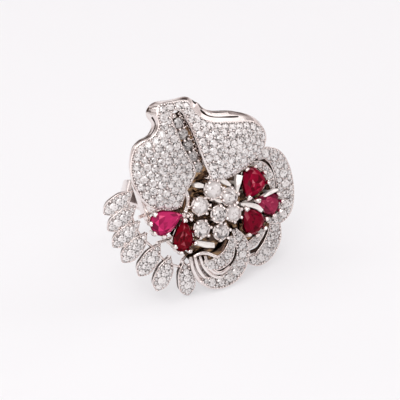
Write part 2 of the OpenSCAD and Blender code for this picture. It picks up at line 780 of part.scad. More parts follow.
module ruby_mounts() {
    for (row = ruby_rows) {
        l = row[5];
        w = row[6];
        at_ruby(row) {
            difference() {
                loft([
                    pear_ring(l, w, 0.62, -collar_low, collar_sides),
                    pear_ring(l + 2 * cup_reach, w + 2 * cup_reach, 1, -cup_top, collar_sides)
                ]);
                loft([
                    pear_ring(l, w, 0.36, -collar_low - 0.1, collar_sides),
                    pear_ring(l, w, 0.95, -cup_top + 0.02, collar_sides)
                ]);
            }
            for (a = claw_angles) {
                q = pear(l, w, a);
                stone_claw(q + (claw_r + claw_gap) * unit(q), 0);
            }
            stone_claw([l / 2 + claw_r + claw_gap, 0], 0);
        }
        side = [row[0], row[1]] + ruby_foot_share * l * [cos(row[3]), sin(row[3])];
        foot = unit(side) * gallery_r;
        wire([[side[0], side[1], row[2] - ruby_foot_drop], [foot[0], foot[1], gallery_z]], strut_r);
    }
}

module scrolls() {
    for (path = [right_band, right_crescent, low_band, low_crescent, middle_band, middle_crescent])
        swept(smooth(path, 2), scroll_deep);
    strip(ridge_plate, ridge_plate_half, ridge_plate_thick);
    for (ridge = middle_ridges) wire(ridge, ridge_r);
}

module leaves() {
    for (row = leaf_rows)
        swept(leaf_path(row), leaf_deep, true);
    wire(leaf_rail, rail_r);
    strip(leaf_screen, screen_half, screen_deep);
}

// A blade's outline: [share of its length, share of its half width]
blade_outline = [[0, 0.35], [0.4, 1], [1, 0.5]];
module blade(spec) {
    t = unit(spec[1] - spec[0]);
    x = unit(cross([0, 0, 1], t));
    loft([
        for (s = blade_outline)
            [
                for (q = [[-1, -1], [1, -1], [1, 1], [-1, 1]])
                    lerp(spec[0], spec[1], s[0]) + q[0] * spec[2] * s[1] * x + [0, 0, q[1] * spec[3]]
            ]
    ]);
    foot = lerp(spec[0], spec[1], 0.5);
    post(foot, foot[2]);
}

// The head's metal, soldered up: one skin with no size changed
module head() {
    resize([0, 0, 0]) union() {
        petal();
        scrolls();
        leaves();
        gallery();
        shoulders();
        cluster_claws();
        for (row = cluster_rows) cup(row);
        ruby_mounts();
        for (spec = blades) blade(spec);
        for (path = struts) wire(path, strut_r);
    }
}

module band() {
    translate([0, 0, -band_r])
        rotate([90, 0, -band_lean])
            difference() {
                cylinder(r = band_r, h = band_w, center = true, $fn = 96);
                cylinder(r = finger_d / 2, h = band_w + 2, center = true, $fn = 96);
            }
}

// Lay the head down as the ring rests on a table
module lying() {
    translate(rest_shift)
        rotate([90 - face_tilt, 0, 0])
            rotate([0, 0, -face_turn])
                children();
}

module setting() {
    color(metal) lying() {
        band();
        head();
    }
}

module petal_stones_left() {
    color(diamond) lying() gem_field(petal_seats(true));
}

module petal_stones_right() {
    color(diamond) lying() gem_field(petal_seats(false));
}

module leaf_stones() {
    color(diamond) lying() gem_field([for (row = leaf_rows) each leaf_seats(row)]);
}

module scroll_stones_right() {
    color(diamond) lying() gem_field(concat(
        band_seats(right_band, right_band_stones),
        band_seats(right_crescent, right_crescent_stones)
    ));
}

module scroll_stones_low() {
    color(diamond) lying() gem_field(concat(
        band_seats(low_band, low_band_stones),
        band_seats(low_crescent, low_crescent_stones)
    ));
}

module scroll_stones_middle() {
    color(diamond) lying() gem_field(concat(
        band_seats(middle_band, middle_band_stones),
        band_seats(middle_crescent, middle_crescent_stones)
    ));
}

setting();
ruby_stone(0);  // ruby_1
ruby_stone(1);  // ruby_2
ruby_stone(2);  // ruby_3
ruby_stone(3);  // ruby_4
ruby_stone(4);  // ruby_5
cluster_stone(0);  // cluster_diamond_1
cluster_stone(1);  // cluster_diamond_2
cluster_stone(2);  // cluster_diamond_3
cluster_stone(3);  // cluster_diamond_4
cluster_stone(4);  // cluster_diamond_5
cluster_stone(5);  // cluster_diamond_6
cluster_stone(6);  // cluster_diamond_7
groove_stone(0);  // groove_diamond_1
groove_stone(1);  // groove_diamond_2
groove_stone(2);  // groove_diamond_3
groove_stone(3);  // groove_diamond_4
groove_stone(4);  // groove_diamond_5
petal_stones_left();
petal_stones_right();
leaf_stones();
scroll_stones_right();
scroll_stones_low();
scroll_stones_middle();
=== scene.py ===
"""Ruby and diamond cocktail ring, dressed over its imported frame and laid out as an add-on."""

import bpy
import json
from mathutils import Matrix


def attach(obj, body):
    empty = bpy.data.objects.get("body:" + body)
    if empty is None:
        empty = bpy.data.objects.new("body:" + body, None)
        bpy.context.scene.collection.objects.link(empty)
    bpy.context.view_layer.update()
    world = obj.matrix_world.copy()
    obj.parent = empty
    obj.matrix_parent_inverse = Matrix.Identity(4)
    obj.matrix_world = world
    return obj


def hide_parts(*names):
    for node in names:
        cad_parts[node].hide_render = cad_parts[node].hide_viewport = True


bl_info = {
    "name": "Petal Cluster Ring",
    "version": (1, 0, 0),
    "blender": (4, 5, 0),
    "location": "3D View > Sidebar > Ring",
    "description": "Builds the metal, stones and stage of a petal ring with a ruby and diamond cluster",
    "category": "Object",
}

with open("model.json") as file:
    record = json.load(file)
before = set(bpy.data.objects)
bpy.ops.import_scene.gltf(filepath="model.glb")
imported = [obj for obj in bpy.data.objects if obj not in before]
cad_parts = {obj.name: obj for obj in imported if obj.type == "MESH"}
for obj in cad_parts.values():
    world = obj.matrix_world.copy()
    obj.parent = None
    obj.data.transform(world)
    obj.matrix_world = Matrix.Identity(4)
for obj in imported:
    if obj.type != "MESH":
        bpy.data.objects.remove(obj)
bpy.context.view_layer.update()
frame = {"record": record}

import json
import math

import bmesh
import bpy
import numpy as np
from mathutils import Matrix, Vector

BODY = "root"
MM = 0.001

# The head's own frame, in millimetres: x to the right of the face, y up it, z out of it, and z = 0
# where the band's back meets the head. HEAD lays it down as the ring rests, in metres.
FACE_TILT = math.radians(18.42)
FACE_TURN = math.radians(16.39)
REST_SHIFT = Vector((0.90, -6.40, 11.56))
HEAD = (
    Matrix.Scale(MM, 4)
    @ Matrix.Translation(REST_SHIFT)
    @ Matrix.Rotation(math.pi / 2 - FACE_TILT, 4, "X")
    @ Matrix.Rotation(-FACE_TURN, 4, "Z")
)
FACE_UP = (HEAD.to_3x3() @ Vector((0, 0, 1))).normalized()

# Band
BAND_LEAN = math.radians(17)
BAND_THICK = 1.6
BAND_W = 4.4
BAND_FILLET = 0.55
BAND_SIDES = 160
SHOULDER_FILLET = 0.3
# [distance from the middle, z, half thickness, half width along the finger]
SHOULDER_ROWS = [
    (8.1, -4.6, 0.75, BAND_W * 0.46),
    (7.5, -2.8, 1.00, BAND_W * 0.46),
    (6.8, -1.2, 0.95, BAND_W * 0.50),
    (6.1, 0.2, 0.75, BAND_W * 0.58),
    (5.6, 1.4, 0.60, BAND_W * 0.68),
]

# Petal, one row for each fold: groove edge x, y, z, outer edge x, y, z, flare of the hanging wall
# and how deep it hangs
PETAL_ROWS = [
    (-6.3, 1.5, 5.6, -7.1, 1.0, 5.2, 0.0, 0.8),
    (-6.0, 2.6, 5.8, -9.1, 0.7, 4.9, 0.0, 0.8),
    (-5.6, 3.9, 6.0, -12.1, 1.7, 4.6, 0.0, 0.8),
    (-4.5, 5.9, 6.2, -14.3, 4.6, 4.4, 0.0, 0.9),
    (-4.1, 7.6, 6.4, -15.2, 8.1, 4.4, 0.0, 0.9),
    (-5.7, 10.2, 6.8, -14.8, 11.1, 4.7, 0.1, 1.0),
    (-6.9, 12.1, 7.0, -13.6, 12.4, 5.2, 0.3, 1.4),
    (-7.7, 14.1, 7.1, -11.8, 13.4, 5.8, 0.3, 2.0),
    (-8.5, 16.0, 7.0, -10.9, 15.3, 6.2, 0.4, 2.3),
    (-8.6, 17.0, 6.8, -11.2, 17.3, 6.2, 1.1, 2.4),
    (-8.2, 17.6, 6.7, -10.5, 18.8, 5.9, 0.4, 2.0),
    (-7.5, 17.7, 6.7, -8.2, 19.3, 5.8, 0.2, 1.5),
    (-6.8, 17.3, 6.8, -5.5, 19.4, 5.8, 0.7, 1.2),
    (-6.2, 16.3, 6.9, -4.5, 18.1, 6.1, 1.6, 1.0),
    (-5.4, 14.9, 7.0, -3.0, 16.7, 6.2, 1.7, 1.2),
    (-4.6, 13.2, 7.0, -0.8, 15.8, 6.2, 1.9, 1.5),
    (-3.9, 11.5, 7.0, 3.2, 15.7, 6.0, 1.9, 1.6),
    (-3.0, 9.5, 6.8, 6.9, 15.7, 5.6, 1.0, 1.4),
    (-2.3, 8.1, 6.5, 9.2, 14.3, 5.2, 0.4, 0.9),
    (-1.9, 7.3, 6.4, 9.8, 12.5, 5.0, 0.0, 0.8),
    (-1.6, 6.9, 6.3, 8.9, 10.3, 5.0, 0.0, 0.8),
    (-1.7, 6.5, 6.2, 5.7, 7.7, 5.4, 0.0, 0.8),
    (-2.0, 6.3, 6.1, 2.1, 6.0, 5.8, 0.0, 0.8),
    (-2.5, 6.3, 6.1, -1.3, 5.8, 6.0, 0.0, 0.8),
]
# The row where the left lobe's stones end and the right lobe's begin
PETAL_TOP_ROW = 11.6
PETAL_CROWN = 0.13
PETAL_STEPS = 8
# How far the bed lies below the rims, and the skin under it
PETAL_RECESS = 0.5
PETAL_SKIN = 0.34
WALL = 0.5
RIM_W = 0.32
# The slab that the stones stand on: its lift off the bed, its thickness, and the steps it leaves bare at
# each end
PETAL_BED_LIFT = 0.03
PETAL_BED_THICK = 0.13
PETAL_BED_BARE = (4, 3)
# The wall along the groove: its depth where the petal has no width, the gain with the width, and the most
GROOVE_WALL = (0.8, 0.6, 2.6)
# The flared wall bends at this share of its drop, having flared by this share: its outer face, then its
# inner one
WALL_BEND = (0.5, 0.56)
INNER_BEND = (0.5, 0.45)
# Slots in the flared wall, each [row, share of the wall's drop, radius] along it
PETAL_SLOTS = [
    [
        (5.7, 0.45, 0.10), (6.3, 0.48, 0.20), (7.0, 0.42, 0.21), (7.6, 0.38, 0.17), (8.3, 0.40, 0.19),
        (8.7, 0.46, 0.27),
    ],
    [(9.05, 0.78, 0.15), (9.2, 0.80, 0.22), (9.4, 0.82, 0.15)],
    [(12.45, 0.80, 0.14), (12.75, 0.72, 0.24), (13.05, 0.66, 0.16)],
    [
        (13.7, 0.52, 0.14), (14.1, 0.45, 0.22), (14.6, 0.38, 0.13), (15.3, 0.36, 0.10), (15.9, 0.37, 0.16),
        (16.3, 0.42, 0.15),
    ],
    [(15.05, 0.80, 0.13), (15.4, 0.77, 0.12), (15.8, 0.77, 0.08)],
]
# How far a slot's middle line lies behind the wall's face, and its dark lining of painted shade behind the
# slot's edge
SLOT_DEEP = 0.05
SLOT_SHADE_LINING = 0.03

# Groove: its floor's middle line, the seats of its diamonds, and how far they stand over the floor
GROOVE_FLOOR = [
    (-7.7, 17.2, 5.0), (-6.9, 15.0, 5.15), (-5.6, 12.2, 5.15), (-4.4, 9.9, 4.95), (-2.5, 6.9, 4.4),
]
GROOVE_HALF = 1.45
GROOVE_SEATS = [(-7.1, 15.6), (-6.3, 13.7), (-5.4, 11.8), (-4.4, 9.9), (-3.35, 8.05)]
GROOVE_TOP = (-7.7, 16.9)
GROOVE_STAND = 0.90
# The floor is built up round the stones by this much, in layers: [name, bottom, top, finish]; the top one is
# painted shade
GROOVE_RAISE = 0.35
GROOVE_LAYERS = [
    ("groove_floor", -0.7, -0.1, "white_gold_polished"),
    ("groove_shade", -0.12, 0, "white_gold_recess"),
]
GROOVE_FILLET = 0.05
# The grains along it: their mean distance from the middle line, how far they step in and out, their sizes
GROOVE_GRAINS_APART = 0.98
GROOVE_GRAINS_STEP = 0.12
GROOVE_GRAIN_SIZES = (0.14, 0.24)
# A large grain closes the groove at its top
GROOVE_END = (-7.8, 16.7)
GROOVE_END_R = 0.6

# Cluster diamonds, [x, y, z, radius], and the six outer ones in their order round the middle one
CLUSTER_ROWS = [
    (-0.5, 4.1, 5.7, 1.45),
    (2.5, 2.8, 5.7, 1.35),
    (-2.9, 1.4, 5.7, 1.35),
    (0.2, 0.0, 6.6, 1.25),
    (3.2, 0.0, 5.8, 1.25),
    (-2.6, -2.5, 5.6, 1.30),
    (1.0, -3.1, 5.7, 1.25),
]
CLUSTER_MIDDLE = 3
# How light each stone's painted reflections are
CLUSTER_TONES = [1.05, 0.80, 0.95, 0.12, 1.05, 0.85, 0.55]
GROOVE_TONES = [0.30, 0.25, 0.30, 0.35, 0.40]
# Each one is turned on by this much from the one before
STONE_TURN = 0.7
CUP_REACH = 0.32
CUP_SIDES = 28
# Claws: from the girdle to their middle (a radius and a gap), sizes, and the room that one needs beside
# other stones and other claws
CLAW_REACH = 0.24 + 0.08
CLAW_SIZE = 1.35
LEFT_CLAW_SIZE = 1.7
GROOVE_CLAW_SIZE = 1.1
RUBY_CLAW_SIZE = 1.85
CLAW_ROOM = 0.12
CLAW_APART = 0.5
# The groove's claws stand this far to each side of its middle line
GROOVE_CLAW_SIDE = 0.5

# Gallery ring: radius, height, wire and fillet, and the ways that its bars run
GALLERY_R = 5.6
GALLERY_Z = 1.4
GALLERY_WIRE = 0.9
GALLERY_FILLET = 0.25
GALLERY_SIDES = 72
GALLERY_BARS = [45, 102, 167]
GALLERY_BAR_R = 0.4

# Rubies: [x, y, z, way the point faces, tilt of the round end downwards, length, width]
RUBY_ROWS = [
    (-8.9, -1.0, 5.2, 24, 12, 5.6, 4.0),
    (-5.8, -3.5, 5.1, 97, 14, 5.6, 3.6),
    (7.1, 4.9, 5.2, -119, 14, 5.5, 4.6),
    (10.1, 1.5, 4.8, 167, 16, 5.4, 3.7),
    (7.0, -1.3, 5.2, 128, 11, 5.2, 4.1),
]
RUBY_CLAWS = [120, 160, 200, 240]
# How light each one's painted table reflection is, and how varied
RUBY_TABLES = [(0.50, 0.6), (0.40, 1.2), (0.48, 1.5), (0.70, 0.4), (0.30, 0.6)]
RUBY_CROWN = 0.75
RUBY_DEEP = 1.7
# Collars: how much longer and wider than the stone, and their top and foot below its girdle
COLLAR_GROW = 0.5
COLLAR_TOP = 0.4
COLLAR_LOW = 1.9
COLLAR_SIDES = 40
# The bars that carry the collars: where under the stone they end, and the height of their bend
RUBY_FOOT_SHARE = 0.22
RUBY_FOOT_BEND = 2.4

# Scroll bands and the crescents inside them: [x, y, z, half width]
SCROLL_PATHS = {
    "right_band": [
        (8.4, 9.2, 4.2, 0.45), (9.9, 10.0, 4.15, 1.05), (11.6, 9.5, 4.0, 1.45), (12.7, 8.4, 3.85, 1.60),
        (13.6, 6.6, 3.65, 1.68), (14.15, 4.35, 3.5, 1.70), (14.4, 2.0, 3.5, 1.55),
        (14.15, 0.1, 3.55, 1.30), (13.1, -1.2, 3.65, 1.05), (11.8, -1.6, 3.8, 0.75),
        (10.5, -1.6, 4.0, 0.42),
    ],
    "right_crescent": [
        (7.6, 8.35, 4.2, 0.40), (9.0, 8.0, 4.2, 0.75), (10.1, 7.15, 4.15, 0.84), (10.95, 5.9, 4.0, 0.80),
        (11.5, 4.4, 3.9, 0.55), (11.9, 2.9, 3.8, 0.30),
    ],
    "low_band": [
        (12.3, -2.2, 3.35, 1.10), (12.2, -4.4, 3.25, 1.45), (11.5, -6.2, 3.15, 1.55),
        (10.5, -7.5, 3.1, 1.50), (9.3, -8.35, 3.1, 1.30), (8.1, -8.5, 3.15, 0.95), (7.2, -8.3, 3.2, 0.50),
    ],
    "low_crescent": [
        (10.3, -2.7, 3.6, 0.35), (9.35, -4.1, 3.6, 0.68), (8.3, -5.2, 3.6, 0.78), (7.2, -5.9, 3.6, 0.72),
        (6.2, -6.2, 3.55, 0.45),
    ],
    "middle_band": [
        (3.6, -2.9, 5.2, 0.50), (5.1, -5.0, 4.9, 1.15), (5.4, -7.8, 4.5, 1.40), (4.2, -10.4, 4.3, 1.40),
        (2.0, -11.8, 4.1, 1.25), (-0.3, -11.9, 4.1, 0.95), (-1.7, -11.2, 4.2, 0.60),
    ],
    "middle_crescent": [
        (-2.0, -8.4, 4.85, 0.45), (-0.1, -8.8, 4.9, 1.10), (2.2, -7.7, 4.9, 1.22), (3.05, -5.8, 5.1, 0.84),
        (3.3, -4.0, 5.2, 0.40),
    ],
}
# [count, diameter, share of the path left bare at its start, share left bare at its end]
SCROLL_STONES = {
    "right_band": (9, 1.50, 0.10, 0.09),
    "right_crescent": (4, 1.26, 0.18, 0.26),
    "low_band": (6, 1.50, 0.08, 0.10),
    "low_crescent": (3, 1.08, 0.24, 0.20),
    "middle_band": (8, 1.44, 0.11, 0.12),
    "middle_crescent": (4, 1.50, 0.18, 0.18),
}
SCROLL_DEEP = 1.4
MIDDLE_RIDGES = [
    [(-4.1, -7.3, 4.2), (-3.54, -9.55, 3.9), (-2.24, -11.5, 3.6), (-0.54, -12.6, 3.5), (0.97, -13.0, 3.5)],
    [(-3.4, -7.3, 4.4), (-2.66, -9.38, 4.1), (-1.24, -11.1, 3.9), (0.67, -12.2, 3.8)],
    [(-2.6, -7.2, 4.6), (-1.77, -9.0, 4.4), (-0.44, -10.4, 4.25), (1.05, -11.05, 4.2), (2.1, -10.9, 4.2)],
    [(-1.7, -7.2, 4.8), (-0.95, -9.1, 4.7), (0.35, -10.15, 4.6), (1.76, -10.1, 4.55), (3.0, -9.2, 4.6)],
    [(-3.6, -7.25, 4.2), (-2.6, -6.8, 4.55), (-1.4, -6.75, 4.75), (-0.2, -7.2, 4.8), (0.8, -7.5, 4.8)],
]
RIDGE_R = 0.36
# Their ends thin out as the sine of a turn that stops this far short of nothing, to this power
RIDGE_END = 0.25
RIDGE_FULLNESS = 0.35
RIDGE_PLATE = [(-3.0, -7.4, 3.9), (-2.1, -9.6, 3.6), (-0.6, -11.2, 3.4), (1.2, -11.5, 3.4)]
RIDGE_PLATE_HALF = 1.15
RIDGE_PLATE_THICK = 0.8
# Web between the ridges' upper ends and the crescent, coloured as painted shade
RIDGE_WEB = [(-3.3, -7.2, 3.8), (-1.6, -7.5, 4.0), (0.3, -7.2, 4.1), (1.9, -6.2, 4.2), (2.8, -4.9, 4.2)]
RIDGE_WEB_HALF = 0.5
RIDGE_WEB_THICK = 0.5
RIDGE_FILLET = 0.15
# Dark lines of painted shade down in the slots between a band and its crescent
SLOT_SHADES = [
    [(10.71, -2.87, 2.7), (10.43, -4.78, 2.65), (9.37, -6.48, 2.65), (7.84, -7.16, 2.7)],
    [(4.0, -4.5, 4.5), (4.13, -6.47, 4.45), (3.75, -8.01, 4.35), (2.81, -9.35, 4.2), (1.6, -10.3, 4.05)],
    [
        (8.28, 8.87, 3.5), (9.62, 8.92, 3.5), (11.01, 8.27, 3.4), (12.03, 6.68, 3.3), (12.52, 4.76, 3.2),
        (12.72, 3.36, 3.2),
    ],
]
SLOT_SHADE_R = 0.32

# Leaves: [root x, root y, tip x, tip y, half width]
LEAF_ROWS = [
    (-14.3, 4.2, -19.1, 0.3, 1.40),
    (-13.7, 1.6, -18.4, -2.5, 1.40),
    (-13.0, -1.0, -17.5, -5.3, 1.45),
    (-11.7, -3.0, -15.8, -8.0, 1.50),
    (-9.3, -4.9, -12.8, -10.5, 1.55),
    (-7.4, -7.1, -9.5, -13.2, 1.55),
    (-5.0, -8.1, -3.6, -14.25, 1.62),
]
LEAF_ROOT_Z = 3.4
LEAF_TIP_Z = 2.0
LEAF_ARCH = 0.35
LEAF_DEEP = 1.5
LEAF_STEPS = 30
LEAF_TIP_HALF = 0.12
# A leaf's flank is upright down to its lip, then goes in by the waist's first value at the second's depth
LEAF_LIP = 0.28
LEAF_WAIST = (0.42, 0.85)
# The dark sheet of painted shade between a leaf's rim and its foot, from and to these depths
NOTCH_TOP = 0.42
NOTCH_FOOT = 1.15
# How full a leaf is towards its root and towards its tip, and how far its widest place lies from the root
LEAF_ROOT_FULLNESS = 3.0
LEAF_TIP_FULLNESS = 3.6
LEAF_SHIFT = 1.25
# [share of the leaf's length, diameter]
LEAF_GEMS = [(0.16, 0.78), (0.30, 1.10), (0.47, 1.40), (0.675, 1.50), (0.86, 1.10)]
LEAF_RAIL = [
    (-14.7, 6.0, 3.1), (-15.0, 3.4, 2.4), (-14.5, 0.9, 2.4), (-13.7, -1.6, 2.4), (-12.4, -3.8, 2.4),
    (-10.1, -5.9, 2.4), (-8.0, -8.1, 2.4), (-5.0, -9.2, 2.5), (-3.6, -8.4, 3.6),
]
LEAF_RAIL_R = 0.26
LEAF_STRUTS = [
    [(-4.4, -3.4, 1.4), (-7.2, -4.4, 1.6), (-9.6, -4.9, 2.4)],
    [(-5.5, 0.6, 1.4), (-9.4, 0.4, 1.6), (-12.9, -0.4, 2.4)],
    [(-2.6, -5.0, 1.4), (-3.8, -7.0, 2.0), (-5.0, -8.1, 2.5)],
]
LEAF_STRUT_R = 0.32
LEAF_SCREEN = [(-13.4, 5.2, 3.2), (-12.4, 2.4, 3.1), (-11.6, 0.2, 3.0), (-10.4, -1.9, 2.9)]
SCREEN_HALF = 0.3
SCREEN_DEEP = 2.2
SCREEN_FILLET = 0.1
STRUTS = [
    [(-4.6, 3.0, 1.4), (-8.5, 6.0, 2.2), (-11.5, 8.2, 5.2)],
    [(-2.0, 5.2, 1.4), (-4.4, 8.6, 2.4), (-5.4, 11.4, 4.9)],
    [(3.4, 4.4, 1.4), (5.2, 8.0, 2.6), (5.6, 10.8, 6.1)],
    [(5.5, 1.4, 1.4), (9.2, 3.2, 1.7), (13.2, 4.4, 2.6)],
    [(4.6, -3.2, 1.4), (8.4, -4.6, 1.6), (11.0, -5.6, 2.2)],
    [(2.0, -5.2, 1.4), (3.0, -7.2, 2.2), (3.4, -8.0, 3.9)],
    [(11.0, -5.6, 2.2), (12.2, -2.4, 2.1), (13.2, -0.4, 2.4)],
    [(5.2, 2.6, 1.4), (8.4, 6.0, 1.8), (9.2, 8.8, 3.4)],
]
STRUT_R = 0.45
# Sides of every wire, and the steps along it
WIRE_SIDES = 12
WIRE_STEP = 0.3

# Bright blades between the stones: [x, y, z, half width] along them
BLADES = [
    [(-4.05, 4.95, 5.3, 0.34), (-3.2, 4.95, 5.4, 0.50), (-2.35, 4.8, 5.3, 0.36)],
    [(4.35, 6.5, 5.4, 0.58), (4.05, 5.1, 5.6, 0.42), (3.9, 3.6, 5.5, 0.14)],
    [(0.75, 5.75, 5.2, 0.25), (1.75, 5.35, 5.3, 0.48), (2.75, 4.75, 5.2, 0.25)],
    [(4.7, 1.45, 5.2, 0.22), (6.15, 1.35, 5.4, 0.42), (7.7, 0.95, 5.3, 0.48), (8.85, 0.15, 5.0, 0.36)],
    [(-3.55, -4.75, 4.95, 0.42), (-1.87, -5.2, 5.1, 0.56), (-0.2, -5.4, 5.05, 0.48)],
    [(9.0, 2.5, 5.0, 0.14), (10.5, 3.35, 5.1, 0.32), (12.0, 3.75, 4.8, 0.18)],
    [(-0.3, 2.4, 5.6, 0.22), (0.45, 2.2, 5.7, 0.34), (1.05, 2.0, 5.7, 0.14)],
]
# Half their height
BLADE_TALL = 0.42
BLADE_FILLET = 0.05
# Their tops are this share of their feet's width, and slope towards the light: their rise to the right and
# up the face
BLADE_TAPER = 0.85
BLADE_TIP = (0.45, -0.25)
# Radius of a blade's post at its foot and its top
BLADE_POST = (0.34, 0.28)
# A curved wall at the cluster's left, [x, y, z], and the claws beside it, [x, y, z, way they face]
LEFT_WALL = [(-5.4, 4.4, 4.8), (-4.85, 3.0, 4.7), (-4.75, 1.6, 4.6), (-5.2, 0.4, 4.5)]
LEFT_WALL_HALF = (0.5, 0.35)
LEFT_WALL_DEEP = 1.6
LEFT_WALL_FILLET = 0.12
LEFT_CLAWS = [(-5.45, -0.1, 4.9, 150), (-4.55, 0.1, 4.9, 60), (-4.6, -0.95, 5.0, -60)]

# Edge of the plate that closes the gallery under the stones, and its heights at the middle and the edge
UNDER_PLATE = [
    (-9.0, 1.6), (-8.8, -1.3), (-7.0, -3.6), (-5.7, -5.1), (-4.9, -6.6), (-3.4, -8.3), (-1.0, -10.8),
    (2.8, -11.3), (5.7, -9.5), (7.2, -6.3), (10.2, -5.2), (12.2, -3.3), (13.1, -0.4), (13.7, 2.6),
    (13.1, 6.1), (11.4, 8.7), (8.9, 9.1), (6.0, 8.3), (2.6, 7.2), (-0.6, 8.2), (-3.4, 7.4), (-5.7, 4.9),
    (-7.5, 3.1),
]
PLATE_MIDDLE_Z = 2.9
PLATE_EDGE_Z = 2.45
PLATE_SHARES = (1.0, 0.9, 0.8, 0.7, 0.6, 0.5, 0.4, 0.2, 0.03)
# The plate's layers: [name, depth of its top and of its foot below the wavy surface, finish]
PLATE_LAYERS = [
    ("under_plate", 0.1, 0.35, "white_gold_polished"),
    ("under_plate_shade", 0, 0.12, "white_gold_recess"),
]
# The waves' height, and how far each of the two turns: in radians from one point of the edge to the next,
# and from the middle out to the edge
PLATE_WAVE = 0.16
PLATE_TURNS = [(0.61, 9), (0.17, 5)]

# Bands, crescents and leaves: their rims, the recess between them, how far the bed lies below the
# surface and how thick it is, and the rise of the dome
STRIP_RIM = 0.21
STRIP_RECESS = 0.5
BED_DROP = 0.40
BED_THICK = 0.3
STRIP_DOME = 0.16

# Small stones: how far the girdles are sunk below the surface, and the least and most radius of the fillers
GIRDLE_SINK = 0.05
PETAL_FILLERS = (0.30, 0.58)
STRIP_FILLERS = (0.24, 0.46)
# How far the main ones stay off the rims, and the fillers off what is beside them
RIM_GAP = 0.02
FILLER_GAP = 0.015
# The seed of the ways that the small stones are turned
STONE_SEED = 7
# Beads: how far they are sunk, their least radius, how it grows with the room, the least and most room,
# how many at most, and how far apart they are
BEAD_SINK = 0.02
BEAD_R = 0.10
BEAD_GROWTH = 0.45
BEAD_ROOM = (0.06, 0.3)
BEADS_MOST = 600
PETAL_BEADS_APART = 0.40
SCROLL_BEADS_APART = 0.36
LEAF_BEADS_APART = 0.6
# Beads run into the rims: they count this share of a rim's width
PETAL_BEADS_RIM = 0.5
STRIP_BEADS_RIM = 0.6

# Cuts, as shares of the stone's radius: table, crown, pavilion and girdle. The pears' heights are in
# millimetres
SMALL_CUT = {"table": 0.52, "crown": 0.20, "pavilion": 0.62, "girdle": 0.02}
MAIN_CUT = {"table": 0.56, "crown": 0.31, "pavilion": 0.84, "girdle": 0.03, "inner": True}
RUBY_CUT = {
    "table": 0.62, "crown": RUBY_CROWN, "pavilion": RUBY_DEEP, "girdle": 0.05, "keel": 0.15, "inner": True,
}
# Where the stars and the lower halves end on a stone, as shares of its radius
STAR_REACH = 0.80
LOWER_REACH = 0.22
# Facets of a table that is parted in two rings
TABLE_FACETS = 24


# Shapes, in the head's frame


def unit(v):
    """A vector, or each of several, made one long."""
    v = np.asarray(v, float)
    return v / np.linalg.norm(v, axis=-1, keepdims=True)


def smooth_rows(rows, steps):
    """A smooth curve through the rows, steps from each row to the next."""
    rows = np.asarray(rows, float)
    padded = np.vstack([rows[:1], rows, rows[-1:]])
    t = (np.arange(steps) / steps)[:, None]
    spans = []
    for a, b, c, d in zip(padded, padded[1:], padded[2:], padded[3:]):
        square, cube = 2 * a - 5 * b + 4 * c - d, 3 * b - a - 3 * c + d
        spans.append((2 * b + (c - a) * t + square * t**2 + cube * t**3) / 2)
    return np.vstack(spans + [rows[-1:]])


def rounded(points, radii, steps=3):
    """A closed outline whose corners are arcs."""
    points = [np.asarray(p, float) for p in points]
    outline = []
    for i, (corner, radius) in enumerate(zip(points, radii)):
        back, ahead = points[i - 1] - corner, points[(i + 1) % len(points)] - corner
        reach = 0.45 * min(np.linalg.norm(back), np.linalg.norm(ahead))
        back, ahead = unit(back), unit(ahead)
        half = math.acos(np.clip(back @ ahead, -1, 1)) / 2
        if radius == 0:
            outline.append(corner)
            continue
        if not 0.02 < half < 1.55:
            outline += [corner] * (steps + 1)
            continue
        cut = min(radius / math.tan(half), reach)
        centre = corner + unit(back + ahead) * cut / math.cos(half)
        start, end = corner + cut * back - centre, corner + cut * ahead - centre
        sweep = math.pi - 2 * half
        for k in range(steps + 1):
            t = k / steps
            arm = (math.sin((1 - t) * sweep) * start + math.sin(t * sweep) * end) / math.sin(sweep)
            outline.append(centre + arm)
    return np.array(outline)


def slab_section(half, bottom, top, fillet, top_half=None):
    """A slab's outline with rounded corners. Its top may be narrower than its foot."""
    upper = half if top_half is None else top_half
    return rounded([(-half, bottom), (half, bottom), (upper, top), (-upper, top)], [fillet] * 4)


def headings(path):
    """The way a path runs at each of its points."""
    path = np.asarray(path, float)[:, :3]
    return unit(np.vstack([path[1:], path[-1:]]) - np.vstack([path[:1], path[:-1]]))


